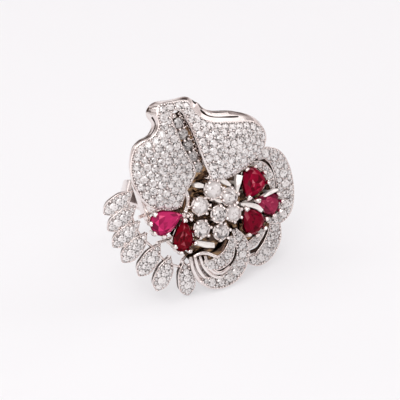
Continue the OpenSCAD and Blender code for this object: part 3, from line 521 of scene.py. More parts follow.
class Shape:
    """Points and faces that grow into one mesh."""

    def __init__(self):
        self.points, self.faces = [], []

    def add(self, points, faces):
        first = len(self.points)
        self.points += [tuple(p) for p in np.asarray(points, float)]
        self.faces += [tuple(first + i for i in face) for face in faces]
        return self

    def loft(self, rings, closed=False):
        """A skin over rings of points, capped at its ends unless it closes on itself."""
        rings = np.asarray(rings, float)
        n, k = rings.shape[:2]
        faces = []
        for i in range(n if closed else n - 1):
            a, b = i * k, (i + 1) % n * k
            faces += [(a + j, a + (j + 1) % k, b + (j + 1) % k, b + j) for j in range(k)]
        if not closed:
            faces += [tuple(range(k))[::-1], tuple((n - 1) * k + j for j in range(k))]
        return self.add(rings.reshape(-1, 3), faces)

    def swept(self, path, section):
        """A section carried along a path and kept upright: section(i) gives its points as (across, up)."""
        rings = []
        for i, (p, t) in enumerate(zip(np.asarray(path, float), headings(path))):
            across = unit(np.cross((0, 0, 1), t))
            up = np.cross(t, across)
            rings.append([p[:3] + q[0] * across + q[1] * up for q in section(i)])
        return self.loft(rings)

    def tube(self, path, radii, sides=10):
        """A round wire whose radius changes along it."""
        rings = []
        for p, t, r in zip(np.asarray(path, float), headings(path), radii):
            across = unit(np.cross((0.13, 0.09, 1), t))
            up = np.cross(t, across)
            turn = [2 * math.pi * j / sides for j in range(sides)]
            rings.append([p[:3] + r * (math.cos(a) * across + math.sin(a) * up) for a in turn])
        return self.loft(rings)

    def revolve(self, centre, profile, sides=20):
        """Rings of (radius, height) about an upright axis, capped at both ends."""
        turn = [2 * math.pi * (j + 0.5) / sides for j in range(sides)]
        return self.loft([
            [(centre[0] + r * math.cos(a), centre[1] + r * math.sin(a), z) for a in turn] for r, z in profile
        ])

    def placed(self, shape, matrix):
        """Another shape's points laid by a matrix."""
        return self.add([matrix @ Vector(p) for p in shape.points], shape.faces)


def plain_mesh(name, shape):
    """A shape's mesh, its doubles merged and its faces turned outwards."""
    mesh = bpy.data.meshes.new(name)
    mesh.from_pydata(shape.points, [], shape.faces)
    work = bmesh.new()
    work.from_mesh(mesh)
    bmesh.ops.remove_doubles(work, verts=work.verts, dist=1e-5)
    bmesh.ops.recalc_face_normals(work, faces=work.faces)
    work.to_mesh(mesh)
    work.free()
    return mesh


def gem_mesh(name, shape, seed=1, tone=None, table=None):
    """A stone's mesh, each facet with a random value of its own in the attribute facet. A single stone
    has its tone on it, and may have its table's facets near one value."""
    mesh = plain_mesh(name, shape)
    values = np.random.default_rng(seed).random(len(mesh.polygons)).astype(np.float32)
    if table is not None:
        values[:TABLE_FACETS] = table[0] + (values[:TABLE_FACETS] - 0.5) * table[1]
    mesh.attributes.new("facet", "FLOAT", "FACE").data.foreach_set("value", values)
    if tone is not None:
        tones = np.full(len(values), tone, np.float32)
        mesh.attributes.new("tone", "FLOAT", "FACE").data.foreach_set("value", tones)
    return mesh


def linked(name, mesh):
    """A new object in the scene."""
    piece = bpy.data.objects.new(name, mesh)
    bpy.context.scene.collection.objects.link(piece)
    return piece


def finished(piece, material, node, crease=None):
    """Lays a piece in place, gives it its finish and lets it ride on the ring."""
    mesh = piece.data
    mesh.transform(HEAD)
    if material is not None:
        mesh.materials.clear()
        mesh.materials.append(material)
    if crease is not None:
        mesh.shade_smooth()
        mesh.set_sharp_from_angle(angle=math.radians(crease))
    mesh.update()
    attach(piece, BODY)
    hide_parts(node)
    return piece


def metal_piece(name, shape, material, crease=35):
    """One piece of the setting."""
    return finished(linked(name, plain_mesh(name, shape)), material, "setting", crease)


def slab_piece(name, rows, section, material):
    """One piece of metal with the same section all along a curve through the rows."""
    return metal_piece(name, Shape().swept(smooth_rows(rows, 6), lambda i: section), material)


# Node graphs


class Value:
    """A socket that takes part in arithmetic: each operation adds its Math node."""

    def __init__(self, graph, socket):
        self.graph, self.socket = graph, socket

    def math(self, operation, *others, clamp=False):
        values = {i: v for i, v in enumerate((self, *others))}
        return self.graph.node("ShaderNodeMath", {"operation": operation, "use_clamp": clamp}, values)

    def __add__(self, other):
        return self.math("ADD", other)

    __radd__ = __add__

    def __mul__(self, other):
        return self.math("MULTIPLY", other)

    __rmul__ = __mul__

    def __sub__(self, other):
        return self.math("SUBTRACT", other)

    def __rsub__(self, other):
        return (self * -1) + other

    def __truediv__(self, other):
        return self.math("DIVIDE", other)

    def between(self, low, high):
        """0 below low, 1 above high and straight between."""
        return ((self - low) / (high - low)).math("MULTIPLY", 1, clamp=True)


class Graph:
    """One node tree being built."""

    def __init__(self, tree):
        self.tree = tree
        tree.nodes.clear()

    def node(self, kind, settings=None, sockets=None, out=0):
        """Adds a node of a kind: its settings first, then its sockets' values or links. Gives one output."""
        made = self.tree.nodes.new(kind)
        for name, value in (settings or {}).items():
            if name == "stops":
                ramp = made.color_ramp
                while len(ramp.elements) < len(value):
                    ramp.elements.new(0.5)
                for element, (place, colour) in zip(ramp.elements, value):
                    element.position = place
                    element.color = (*colour, 1)
            else:
                setattr(made, name, value)
        for name, value in (sockets or {}).items():
            socket = made.inputs[name]
            if isinstance(value, Value):
                self.tree.links.new(value.socket, socket)
            elif isinstance(value, bpy.types.NodeSocket):
                self.tree.links.new(value, socket)
            else:
                socket.default_value = value
        return Value(self, made.outputs[out]) if made.outputs else made


class Finish(Graph):
    """A material being built, with the patterns that the finishes share."""

    def __init__(self, name):
        material = bpy.data.materials.new(name)
        material.use_nodes = True
        super().__init__(material.node_tree)
        self.material = material
        self.place = self.node("ShaderNodeTexCoord", out="Object")

    def noise(self, scale, detail=2.0, stretch=None):
        """A cloudy pattern on the object's own place, stretched along its axes where asked."""
        place = self.place
        if stretch is not None:
            place = self.node("ShaderNodeMapping", {}, {"Vector": place, "Scale": stretch})
        sockets = {"Vector": place, "Scale": scale, "Detail": detail}
        return self.node("ShaderNodeTexNoise", {}, sockets, out="Fac")

    def attribute(self, name):
        """A value that the mesh carries."""
        return self.node("ShaderNodeAttribute", {"attribute_name": name}, out="Fac")

    def ramp(self, stops, value):
        """A colour that runs through the stops, (place, colour)."""
        return self.node("ShaderNodeValToRGB", {"stops": stops}, {"Fac": value}, out="Color")

    def mix(self, factor, first, second):
        settings = {"data_type": "RGBA"}
        sockets = {0: factor, 6: first, 7: second}
        return self.node("ShaderNodeMix", settings, sockets, out=2)

    def height(self):
        """Height over the band's back along the face's normal, in millimetres."""
        sockets = {0: self.place, 1: FACE_UP}
        along = self.node("ShaderNodeVectorMath", {"operation": "DOT_PRODUCT"}, sockets, out="Value")
        return along * (1 / MM) - FACE_UP.dot(REST_SHIFT)

    def bump(self, height, distance, strength):
        sockets = {"Height": height, "Distance": distance, "Strength": strength}
        return self.node("ShaderNodeBump", {}, sockets)

    def surface(self, sockets):
        shader = self.node("ShaderNodeBsdfPrincipled", {}, sockets)
        self.node("ShaderNodeOutputMaterial", {}, {"Surface": shader})
        return self.material


def rgba(colour):
    return (*colour, 1.0)


def white_gold(settings):
    """Polished white gold: warm, with faint clouding and fine wear."""
    f = Finish("white_gold_polished")
    cloud = f.noise(420, 3)
    colour = f.mix(cloud.between(0.35, 0.7), rgba(settings.metal), rgba(settings.metal_warm))
    wear = f.noise(1500, 2, (1, 1, 4))
    scratches = f.noise(5200, 2, (1, 6, 1))
    return f.surface({
        "Base Color": colour,
        "Metallic": 1.0,
        "Roughness": wear.between(0.3, 0.8) * settings.polish + settings.polish * 0.6,
        "Normal": f.bump(scratches, 0.00002, 0.25),
    })


def bed_gold(settings):
    """The cut metal that the small stones stand in, its grain's dark specks painted shade of the gaps."""
    f = Finish("white_gold_bed")
    grain = f.noise(2600, 3)
    # Painted shade: the grain's dark colour stands for the shade in the gaps between the stones
    colour = f.mix(grain.between(0.38, 0.56), rgba(settings.bed_dark), rgba(settings.bed))
    return f.surface({
        "Base Color": colour,
        "Metallic": 1.0,
        "Roughness": grain * 0.25 + 0.22,
        "Normal": f.bump(grain, 0.00008, 0.5),
    })


def inner_gold(settings):
    """Metal under the cluster: polished at the claws' height, with painted shade in brown down to the plate,
    and polished below it."""
    f = Finish("white_gold_inner")
    cloud = f.noise(700, 3)
    height = f.height()
    # The mask is 1 where the metal keeps its colour; the brown below it is painted shade
    high = ((height + cloud * 0.8).between(3.0, 5.0) + (1 - height.between(2.0, 2.4))).math("MINIMUM", 1)
    return f.surface({
        "Base Color": f.mix(high, rgba(settings.deep), rgba(settings.metal)),
        "Metallic": 1.0,
        "Roughness": (1 - high) * 0.22 + 0.12,
        "Normal": f.bump(cloud, 0.00006, 0.3),
    })


def recess_gold(settings):
    """Metal down in the slots and under the stones: painted shade, with a painted golden gleam in places."""
    f = Finish("white_gold_recess")
    cloud = f.noise(520, 1, (1, 1, 2.5))
    return f.surface({
        # Painted shade, with the deep colour as painted golden gleams in the clouds
        "Base Color": f.mix(cloud.between(0.46, 0.62), rgba(settings.recess), rgba(settings.deep)),
        "Metallic": 1.0,
        "Roughness": 0.14,
        "Normal": f.bump(cloud, 0.00020, 0.5),
    })


def shade_gold(settings):
    """Narrow slots and notches that light hardly reaches."""
    f = Finish("white_gold_shade")
    cloud = f.noise(900, 2)
    dark = tuple(c * 0.3 for c in settings.recess)
    return f.surface({
        "Base Color": f.mix(cloud.between(0.4, 0.7), rgba(dark), rgba(settings.recess)),
        "Metallic": 1.0,
        "Roughness": 0.45,
    })


def bright_gold(settings):
    """Blades between the stones: a lighter copy of the metal as painted highlight, streaked by wear."""
    f = Finish("white_gold_bright")
    wear = f.noise(1800, 2, (1, 3, 1))
    return f.surface({
        # Painted highlight: the blades' lighter colour, mixed with the metal's in worn streaks
        "Base Color": f.mix(wear.between(0.4, 0.8), rgba(settings.blade), rgba(settings.metal)),
        "Metallic": 0.45,
        "Roughness": wear * 0.2 + 0.22,
        "Normal": f.bump(wear, 0.00003, 0.3),
    })


def diamond(settings, name, body, shade=1.0, small=False):
    """A diamond whose facets are painted reflections, each a step between dark and clear as a cut stone
    shows its surroundings, darkened by shade as painted shade. Small ones in a field take their steps at
    random, single ones as light as their tone."""
    f = Finish(name)
    tone, facet = f.attribute("tone"), f.attribute("facet")
    step = (facet * 3.7 + tone * 5.3).math("FRACT", 0) if small else facet * 1.25 + tone * 0.6 - 0.42
    clear, grey = (tuple(c * shade for c in colour) for colour in (settings.diamond, settings.diamond_grey))
    dark = tuple(c * 0.25 for c in grey)
    stops = [(0.0, dark), (0.14, dark), (0.26, grey), (0.38, grey), (0.50, clear), (1.0, clear)]
    return f.surface({
        "Base Color": f.ramp(stops, step),
        "Roughness": 0.03,
        "IOR": 2.4,
        "Transmission Weight": body,
    })


def ruby(name, colour):
    """A ruby: its facets lighter and darker as painted reflections, up to a pale painted highlight, varied
    by a cloudy pattern.
    """
    f = Finish(name)
    cloudy_variation = f.noise(700, 3)
    facet = f.attribute("facet")
    deep, light = (tuple(c * k for c in colour) for k in (0.42, 1.5))
    pale_highlight = tuple(0.7 * c + 0.3 * p for c, p in zip(light, (0.95, 0.45, 0.52)))
    tone = (facet * 0.9 + cloudy_variation * 0.3).between(0.1, 1.1)
    # Darker and lighter facets are painted reflections, and the palest stop a painted highlight
    stops = [(0.0, deep), (0.15, deep), (0.34, colour), (0.68, colour), (0.84, light), (0.98, pale_highlight)]
    return f.surface({
        "Base Color": f.ramp(stops, tone),
        "Roughness": 0.06,
        "IOR": 1.76,
        "Specular IOR Level": 0.01,
        "Transmission Weight": 0.05,
    })


# Geometry node trees


def tree_with_inputs(name, inputs):
    """A geometry tree with a Geometry socket each way and the named inputs."""
    tree = bpy.data.node_groups.new(name, "GeometryNodeTree")
    tree.interface.new_socket("Geometry", in_out="INPUT", socket_type="NodeSocketGeometry")
    tree.interface.new_socket("Geometry", in_out="OUTPUT", socket_type="NodeSocketGeometry")
    for label, kind in inputs.items():
        tree.interface.new_socket(label, in_out="INPUT", socket_type="NodeSocket" + kind)
    graph = Graph(tree)
    start = tree.nodes.new("NodeGroupInput")
    return graph, start.outputs


def closed_tree(graph, geometry, material):
    """Ends a tree: what is placed becomes real and takes its material."""
    real = graph.node("GeometryNodeRealizeInstances", {}, {"Geometry": geometry})
    dressed = graph.node("GeometryNodeSetMaterial", {}, {"Geometry": real, "Material": material})
    graph.node("NodeGroupOutput", {}, {"Geometry": dressed})
    return graph.tree


def seats_tree():
    """Sets a cut stone, bead or claw on every seat: z along the seat's up, x along its ahead."""
    graph, given = tree_with_inputs("set_on_seats", {"Item": "Object", "Material": "Material"})
    read = {"data_type": "FLOAT_VECTOR"}
    up = graph.node("GeometryNodeInputNamedAttribute", read, {"Name": "up"})
    ahead = graph.node("GeometryNodeInputNamedAttribute", read, {"Name": "ahead"})
    size = graph.node("GeometryNodeInputNamedAttribute", {"data_type": "FLOAT"}, {"Name": "size"})
    axes = {"primary_axis": "Z", "secondary_axis": "X"}
    turn = graph.node("FunctionNodeAxesToRotation", axes, {"Primary Axis": up, "Secondary Axis": ahead})
    item = graph.node("GeometryNodeObjectInfo", {}, {"Object": given["Item"]}, out="Geometry")
    placed = graph.node("GeometryNodeInstanceOnPoints", {}, {
        "Points": given["Geometry"], "Instance": item, "Rotation": turn, "Scale": size,
    })
    return closed_tree(graph, placed, given["Material"])


def circle(graph, given):
    """A circle of the tree's Radius and Sides."""
    sockets = {"Resolution": given["Sides"], "Radius": given["Radius"]}
    return graph.node("GeometryNodeCurvePrimitiveCircle", {}, sockets)


def wires_tree():
    """Round wires along every chain of edges."""
    inputs = {"Radius": "Float", "Sides": "Int", "Spacing": "Float", "Material": "Material"}
    graph, given = tree_with_inputs("round_wires", inputs)
    curve = graph.node("GeometryNodeMeshToCurve", {}, {"Mesh": given["Geometry"]})
    soft = graph.node("GeometryNodeCurveSplineType", {"spline_type": "CATMULL_ROM"}, {"Curve": curve})
    lengths = {"Curve": soft, "Length": given["Spacing"]}
    even = graph.node("GeometryNodeResampleCurve", {"mode": "LENGTH"}, lengths)
    sockets = {"Curve": even, "Profile Curve": circle(graph, given), "Fill Caps": True}
    return closed_tree(graph, graph.node("GeometryNodeCurveToMesh", {}, sockets), given["Material"])


def hoop_tree():
    """A hoop of a rounded rectangular section."""
    inputs = dict.fromkeys(("Radius", "Thick", "Width", "Fillet"), "Float")
    graph, given = tree_with_inputs("hoop", {**inputs, "Sides": "Int", "Material": "Material"})
    sizes = {"Width": given["Thick"], "Height": given["Width"]}
    flat = graph.node("GeometryNodeCurvePrimitiveQuadrilateral", {}, sizes)
    corners = {"Curve": flat, "Count": 5, "Radius": given["Fillet"]}
    section = graph.node("GeometryNodeFilletCurve", {"mode": "POLY"}, corners)
    sockets = {"Curve": circle(graph, given), "Profile Curve": section}
    return closed_tree(graph, graph.node("GeometryNodeCurveToMesh", {}, sockets), given["Material"])


def grown(piece, tree, values):
    """Runs a tree on a piece and keeps the result as its plain mesh."""
    modifier = piece.modifiers.new("nodes", "NODES")
    modifier.node_group = tree
    for socket in tree.interface.items_tree:
        if socket.in_out == "INPUT" and socket.name in values:
            modifier[socket.identifier] = values[socket.name]
    made = piece.evaluated_get(bpy.context.evaluated_depsgraph_get())
    mesh = bpy.data.meshes.new_from_object(made)
    piece.modifiers.remove(modifier)
    old, piece.data = piece.data, mesh
    bpy.data.meshes.remove(old)
    mesh.name = piece.name
    return piece


def shared_tree(make):
    """The tree that a function makes, made once."""
    name = make.__name__
    if name not in bpy.data.node_groups:
        make().name = name
    return bpy.data.node_groups[name]


def seat_points(name, seats):
    """A mesh of points that carry up, ahead, size and tone: seats are (place, up, ahead, size)."""
    mesh = bpy.data.meshes.new(name)
    mesh.from_pydata([tuple(seat[0]) for seat in seats], [], [])
    tones = np.random.default_rng(len(seats)).random(len(seats))
    for label, kind, key, values in (
        ("up", "FLOAT_VECTOR", "vector", [seat[1] for seat in seats]),
        ("ahead", "FLOAT_VECTOR", "vector", [seat[2] for seat in seats]),
        ("size", "FLOAT", "value", [seat[3] for seat in seats]),
        ("tone", "FLOAT", "value", tones),
    ):
        attribute = mesh.attributes.new(label, kind, "POINT")
        attribute.data.foreach_set(key, np.array(values, np.float32).ravel())
    return linked(name, mesh)


def set_on_seats(name, seats, item, material, node, crease=None):
    """One piece made of an item set on every seat."""
    source = linked(name + "_item", item)
    piece = grown(seat_points(name, seats), shared_tree(seats_tree), {"Item": source, "Material": material})
    bpy.data.objects.remove(source)
    return finished(piece, None, node, crease)


def wires_piece(name, paths, radius, material):
    """One piece of round wires along paths."""
    points, edges = [], []
    for path in paths:
        first = len(points)
        points += [tuple(p) for p in path]
        edges += [(first + i, first + i + 1) for i in range(len(path) - 1)]
    mesh = bpy.data.meshes.new(name)
    mesh.from_pydata(points, edges, [])
    values = {"Radius": radius, "Sides": WIRE_SIDES, "Spacing": WIRE_STEP, "Material": material}
    piece = grown(linked(name, mesh), shared_tree(wires_tree), values)
    return finished(piece, None, "setting", 50)


def hoop_piece(name, sizes, place, material):
    """One piece that is a hoop of the given sizes, laid by a matrix."""
    piece = linked(name, bpy.data.meshes.new(name))
    grown(piece, shared_tree(hoop_tree), {**sizes, "Material": material})
    piece.data.transform(place)
    return finished(piece, None, "setting", 40)


# Stones


def round_outline(turn):
    """A point of a circle of radius 1."""
    return np.array([math.cos(turn), math.sin(turn)])


def cut_stone(outline, table, crown, pavilion, girdle, keel=0.0, inner=False):
    """A brilliant on any outline: table, star, kite and break facets, girdle, and a pavilion of mains and
    halves. The table is parted as the pavilion shows through it, in one ring or with an inner one.
    outline(turn) is the girdle, and the heights are in its units."""
    eighth = math.pi / 4
    between = math.cos(eighth / 2)
    top = crown + girdle
    star_z = crown / (1 - table) * (1 - STAR_REACH * between) + girdle
    lower_z = -(pavilion * (1 - LOWER_REACH * between) + girdle)

    def ring(count, first, share, z):
        return [(*(outline(2 * math.pi * (j + first) / count) * share), z) for j in range(count)]

    points = [
        *ring(8, 0, table, top), *ring(8, 0.5, STAR_REACH, star_z), *ring(16, 0, 1, girdle),
        *ring(16, 0, 1, -girdle), *ring(8, 0.5, LOWER_REACH + keel, lower_z), (0, 0, -pavilion - girdle),
        (0, 0, top),
    ]
    # The first point of each ring, and the two points on the axis
    stars, upper, under, lowers, culet, middle, inners = 8, 16, 32, 48, 56, 57, 58
    eight = [(j, (j + 1) % 8, (j - 1) % 8) for j in range(8)]
    if inner:
        points += ring(8, 0.5, table * 0.5, top)
        faces = [(j, ahead, inners + j) for j, ahead, _ in eight]
        faces += [(j, inners + j, inners + back) for j, _, back in eight]
        faces += [(inners + back, inners + j, middle) for j, _, back in eight]
    else:
        faces = [(j, ahead, middle) for j, ahead, _ in eight]
    for j, ahead, back in eight:
        star, star_back, low, low_back = stars + j, stars + back, lowers + j, lowers + back
        g, h, g_ahead = upper + 2 * j, upper + 2 * j + 1, upper + 2 * ahead
        faces += [(j, star, ahead), (j, star_back, g, star), (star, g, h), (star, h, g_ahead)]
        g, h, g_ahead = g + under - upper, h + under - upper, g_ahead + under - upper
        faces += [(g, low, h), (h, low, g_ahead), (g, low_back, culet, low)]
    for j in range(16):
        ahead = (j + 1) % 16
        faces.append((upper + j, under + j, under + ahead, upper + ahead))
    return Shape().add(points, faces)


def bead():
    """A round grain of metal of radius 1, flat where it is sunk."""
    turns = [math.radians(-20 + 22 * i) for i in range(5)]
    return Shape().revolve((0, 0), [(math.cos(t), math.sin(t)) for t in turns] + [(0.12, 1)], 8)


def claw():
    """A claw that rises straight and bends in over its stone, towards +X."""
    path = smooth_rows([(0, 0, -1.0), (0, 0, -0.3), (0.0, 0, 0.15), (0.12, 0, 0.42), (0.30, 0, 0.52)], 3)
    radii = np.interp(np.linspace(0, 1, len(path)), [0, 0.45, 0.8, 0.93, 1], [0.22, 0.2, 0.25, 0.21, 0.08])
    return Shape().tube(path, radii, 10)


def pear(length, width, turn):
    """A point of a pear's outline, which points along +X."""
    return np.array([length / 2 * math.cos(turn), 0.65 * width * math.sin(turn) * math.sin(turn / 2)])


def ruby_matrix(row):
    """Lays a stone drawn with its point along +X at a ruby's place."""
    turn = Matrix.Rotation(math.radians(row[3]), 4, "Z") @ Matrix.Rotation(math.radians(-row[4]), 4, "Y")
    return Matrix.Translation(row[:3]) @ turn


# Petal surface


def petal_width(row):
    """How far the outer edge lies from the groove's."""
    return np.linalg.norm(row[3:5] - row[0:2])


def petal_height(row, share):
    """The crowned surface's height at a share of the way from the groove to the outer edge."""
    wide = petal_width(row)
    return row[2] + (row[5] - row[2]) * share + PETAL_CROWN * wide * 4 * share * (1 - share)


def petal_section(row):
    """The petal's cross-section at a row, as (distance from the groove edge, height), its rims rounded."""
    wide = petal_width(row)
    rim, thick = min(RIM_W, wide / 5), min(WALL, wide * 0.3)
    edge, flare, drop = row[5:8]
    least, gain, most = GROOVE_WALL
    inner_foot = row[2] - min(most, least + wide * gain)

    def top(x):
        return petal_height(row, x / wide)

    def bed(x):
        return x, top(x) - PETAL_RECESS

    def skin(x):
        return x, top(x) - PETAL_RECESS - PETAL_SKIN

    # Each corner with its radius
    corners = [
        ((0, inner_foot), 0.12), ((thick, inner_foot), 0.12), (skin(thick), 0), (skin(0.5 * wide), 0),
        (skin(wide - thick), 0), ((wide - thick + INNER_BEND[1] * flare, edge - INNER_BEND[0] * drop), 0.6),
        ((wide + flare - thick, edge - drop), 0.2), ((wide + flare, edge - drop), 0.2),
        ((wide + WALL_BEND[1] * flare, edge - WALL_BEND[0] * drop), 0.8), ((wide, edge), 0.14),
        ((wide - rim, top(wide - rim)), 0.1), *((bed(x), 0) for x in np.linspace(wide - rim, rim, 11)),
        ((rim, top(rim)), 0.1), ((0, row[2]), 0.14),
    ]
    points, radii = zip(*corners)
    return rounded(points, radii)


def outward(rows):
    """The way out of the petal's outer edge, at each row."""
    along = np.gradient(rows[:, 3:5], axis=0)
    out = unit(np.column_stack([along[:, 1], -along[:, 0]]))
    return np.where(np.sum(out * (rows[:, 3:5] - rows[:, 0:2]), axis=1, keepdims=True) < 0, -out, out)


def petal_point(row, out, x, z):
    """A point of the section: along the row as far as the outer edge, then straight out from it."""
    wide = petal_width(row)
    place = row[0:2] + min(x, wide) / wide * (row[3:5] - row[0:2]) + max(x - wide, 0) * out
    return (*place, z)


def petal_bed_ring(row):
    """The slab that the petal's stones stand on, at a row."""
    wide = petal_width(row)
    rim = min(RIM_W, wide / 5) + 0.01
    xs = np.linspace(rim, wide - rim, 12)
    upper = [(x, petal_height(row, x / wide) - PETAL_RECESS + PETAL_BED_LIFT) for x in xs]
    lower = [(x, z - PETAL_BED_THICK) for x, z in upper[::-1]]
    return [petal_point(row, np.zeros(2), x, z) for x, z in upper + lower]


def slot_path(slot, shade_lining):
    """A slot's middle line and radii: as it is cut into the flared wall, or its lining of painted shade just
    behind the wall's face."""
    steps = 60
    rows = smooth_rows(PETAL_ROWS, steps)
    out = outward(rows)
    path, radii = [], []
    for place, share, radius in smooth_rows(slot, 6):
        i = int(round(place * steps))
        flared = np.interp(share, [0, WALL_BEND[0], 1], [0, WALL_BEND[1], 1]) * rows[i][6]
        deep = radius + SLOT_SHADE_LINING if shade_lining else SLOT_DEEP
        x = petal_width(rows[i]) + flared - deep
        path.append(petal_point(rows[i], out[i], x, rows[i][5] - rows[i][7] * share))
        radii.append(radius)
    return path, radii


def groove_floor_z(y):
    """The height of the groove's floor at a place up the face."""
    rows = sorted(GROOVE_FLOOR, key=lambda row: row[1])
    return np.interp(y, [row[1] for row in rows], [row[2] for row in rows])


def cut_away(piece, cutter):
    """Cuts one mesh out of another and removes it."""
    modifier = piece.modifiers.new("cut", "BOOLEAN")
    modifier.object, modifier.operation, modifier.solver = cutter, "DIFFERENCE", "EXACT"
    mesh = bpy.data.meshes.new_from_object(piece.evaluated_get(bpy.context.evaluated_depsgraph_get()))
    piece.modifiers.remove(modifier)
    piece.data = mesh
    bpy.data.objects.remove(cutter)
    return piece


# Scrolls and leaves


def bed_section(half):
    """The domed slab that the small stones of a strip stand in, between the rims."""
    xs = np.linspace(0.3, -0.3, 9) * half
    if half > 1.5 * STRIP_RIM:
        xs = np.linspace(half - STRIP_RIM, STRIP_RIM - half, 9)
    upper = [(x, STRIP_DOME * half * (1 - (x / half) ** 2) - BED_DROP) for x in xs]
    return [(x, z - BED_THICK) for x, z in upper[::-1]] + upper


def scroll_section(half):
    """A scroll band or crescent, open between its rims."""
    rim, floor = min(STRIP_RIM, half * 0.4), -STRIP_RECESS
    points = [
        (-half, -SCROLL_DEEP), (half, -SCROLL_DEEP), (half, 0), (half - rim, 0), (half - rim, floor),
        (0.4 * half, floor), (-0.4 * half, floor), (rim - half, floor), (rim - half, 0), (-half, 0),
    ]
    return rounded(points, [0.25, 0.25, 0.08, 0.06, 0, 0, 0, 0, 0.06, 0.08])


def leaf_path(row, steps):
    """A leaf's middle line from its root to its tip, as (x, y, z, half width)."""
    path = []
    for i in range(steps + 1):
        t = i / steps
        place = 2 * t**LEAF_SHIFT - 1
        fullness = LEAF_ROOT_FULLNESS if place < 0 else LEAF_TIP_FULLNESS
        half = max(LEAF_TIP_HALF, row[4] * (1 - abs(place) ** fullness))
        z = LEAF_ROOT_Z + (LEAF_TIP_Z - LEAF_ROOT_Z) * t + LEAF_ARCH * math.sin(math.pi * t)
        path.append((row[0] + (row[2] - row[0]) * t, row[1] + (row[3] - row[1]) * t, z, half))
    return np.array(path)


def leaf_section(half):
    """A leaf, open between its rims and narrow in the waist."""
    rim, cut, waist = min(STRIP_RIM, half * 0.4), min(LEAF_WAIST[0], half * 0.5), -LEAF_WAIST[1]
    points = [
        (-half * 0.95, -LEAF_DEEP), (half * 0.95, -LEAF_DEEP), (half - cut, waist), (half, -LEAF_LIP),
        (half, 0), (half - rim, 0), (half - rim, -STRIP_RECESS), (rim - half, -STRIP_RECESS),
        (rim - half, 0), (-half, 0), (-half, -LEAF_LIP), (cut - half, waist),
    ]
    return rounded(points, [0.12, 0.12, 0.1, 0.12, 0.08, 0.06, 0, 0, 0.06, 0.08, 0.12, 0.1])


def notch_section(half):
    """A dark sheet of painted shade, seen between a leaf's rim and its foot."""
    wide = half - min(0.16, half * 0.3)
    return [(-wide, -NOTCH_FOOT), (wide, -NOTCH_FOOT), (wide, -NOTCH_TOP), (-wide, -NOTCH_TOP)]


# Plans of the small stones


class StoneField:
    """A surface as a fine grid of points, for setting stones on it. Its edges are lines of points."""

    def __init__(self, grid, edges, rows):
        along, across = np.gradient(grid, axis=0), np.gradient(grid, axis=1)
        up = unit(np.cross(across, along))
        self.up = np.where(up[..., 2:] < 0, -up, up).reshape(-1, 3)
        self.points = grid.reshape(-1, 3)
        self.row = np.repeat(rows, grid.shape[1])
        self.to_edges = [self.distance_to(edge) for edge in edges]
        self.clear = np.min(self.to_edges, axis=0)

    def distance_to(self, line):
        least = np.full(len(self.points), np.inf)
        for p in line:
            least = np.minimum(least, np.linalg.norm(self.points - p, axis=1))
        return least


def petal_field(steps=24, columns=90):
    """The petal's crowned surface, from the groove to the outer edge."""
    rows = smooth_rows(PETAL_ROWS, steps)
    shares = np.linspace(0, 1, columns)
    inner, outer = rows[:, 0:3], rows[:, 3:6]
    grid = inner[:, None] + (outer - inner)[:, None] * shares[None, :, None]
    wide = np.linalg.norm(rows[:, 3:5] - rows[:, 0:2], axis=1)
    grid[..., 2] += PETAL_CROWN * wide[:, None] * 4 * shares * (1 - shares)
    ends = [inner[i] + (outer[i] - inner[i]) * s for i in (0, -1) for s in np.linspace(0, 1, 20)]
    return StoneField(grid, [outer, inner, ends], np.arange(len(rows)) / steps)


def strip_field(path, columns=25):
    """The domed top of a band, a crescent or a leaf, from edge to edge."""
    shares = np.linspace(-1, 1, columns)
    grid = []
    for p, t in zip(path, headings(path)):
        across = unit(np.cross((0, 0, 1), t))
        up = np.cross(t, across)
        grid.append([p[:3] + p[3] * (s * across + STRIP_DOME * (1 - s * s) * up) for s in shares])
    grid = np.array(grid)
    return StoneField(grid, [grid[:, 0], grid[:, -1], np.vstack([grid[0], grid[-1]])], np.arange(len(path)))


def pave_plan(surface, pitch, margin):
    """Indices of the stones' places: a row along each edge, then each next stone as snug as it goes."""
    # How wide an edge's row is, and from which distances a place counts as far off and as deep inside
    row_width, far, deep = 0.08, 3 * pitch, 2
    allowed = surface.clear >= margin
    nearest = np.full((len(surface.points), 2), np.inf)
    chosen = []

    def choose(i):
        chosen.append(i)
        gap = np.linalg.norm(surface.points - surface.points[i], axis=1)
        nearest[:] = np.sort(np.column_stack([nearest, gap]), axis=1)[:, :2]

    for edge in surface.to_edges[:2]:
        ring = np.where(allowed & (edge < margin + row_width))[0]
        for i in ring[np.argsort(surface.row[ring], kind="stable")]:
            if nearest[i, 0] >= pitch:
                choose(i)
    while True:
        free = np.where(allowed & (nearest[:, 0] >= pitch))[0]
        if len(free) == 0:
            return chosen
        snug = np.minimum(nearest[free, 0], far) + np.minimum(nearest[free, 1], far)
        choose(free[np.argmin(snug + 0.15 * np.minimum(surface.clear[free], deep))])


def rooms(surface, stones, rim):
    """How large a stone fits at each point between the stones, given as (place, radius), and the rims."""
    gap = surface.clear - rim
    for place, radius in stones:
        gap = np.minimum(gap, np.linalg.norm(surface.points - place, axis=1) - radius)
    return gap


def filler_plan(surface, stones, sizes, rim):
    """Smaller stones of least to most radius for the gaps, the widest gap first: (index, radius)."""
    least, most = sizes
    gap = rooms(surface, stones, rim)
    fillers = []
    while gap.max() > least:
        i = int(np.argmax(gap))
        radius = min(gap[i], most) - FILLER_GAP
        fillers.append((i, radius))
        gap = np.minimum(gap, np.linalg.norm(surface.points - surface.points[i], axis=1) - radius)
    return fillers


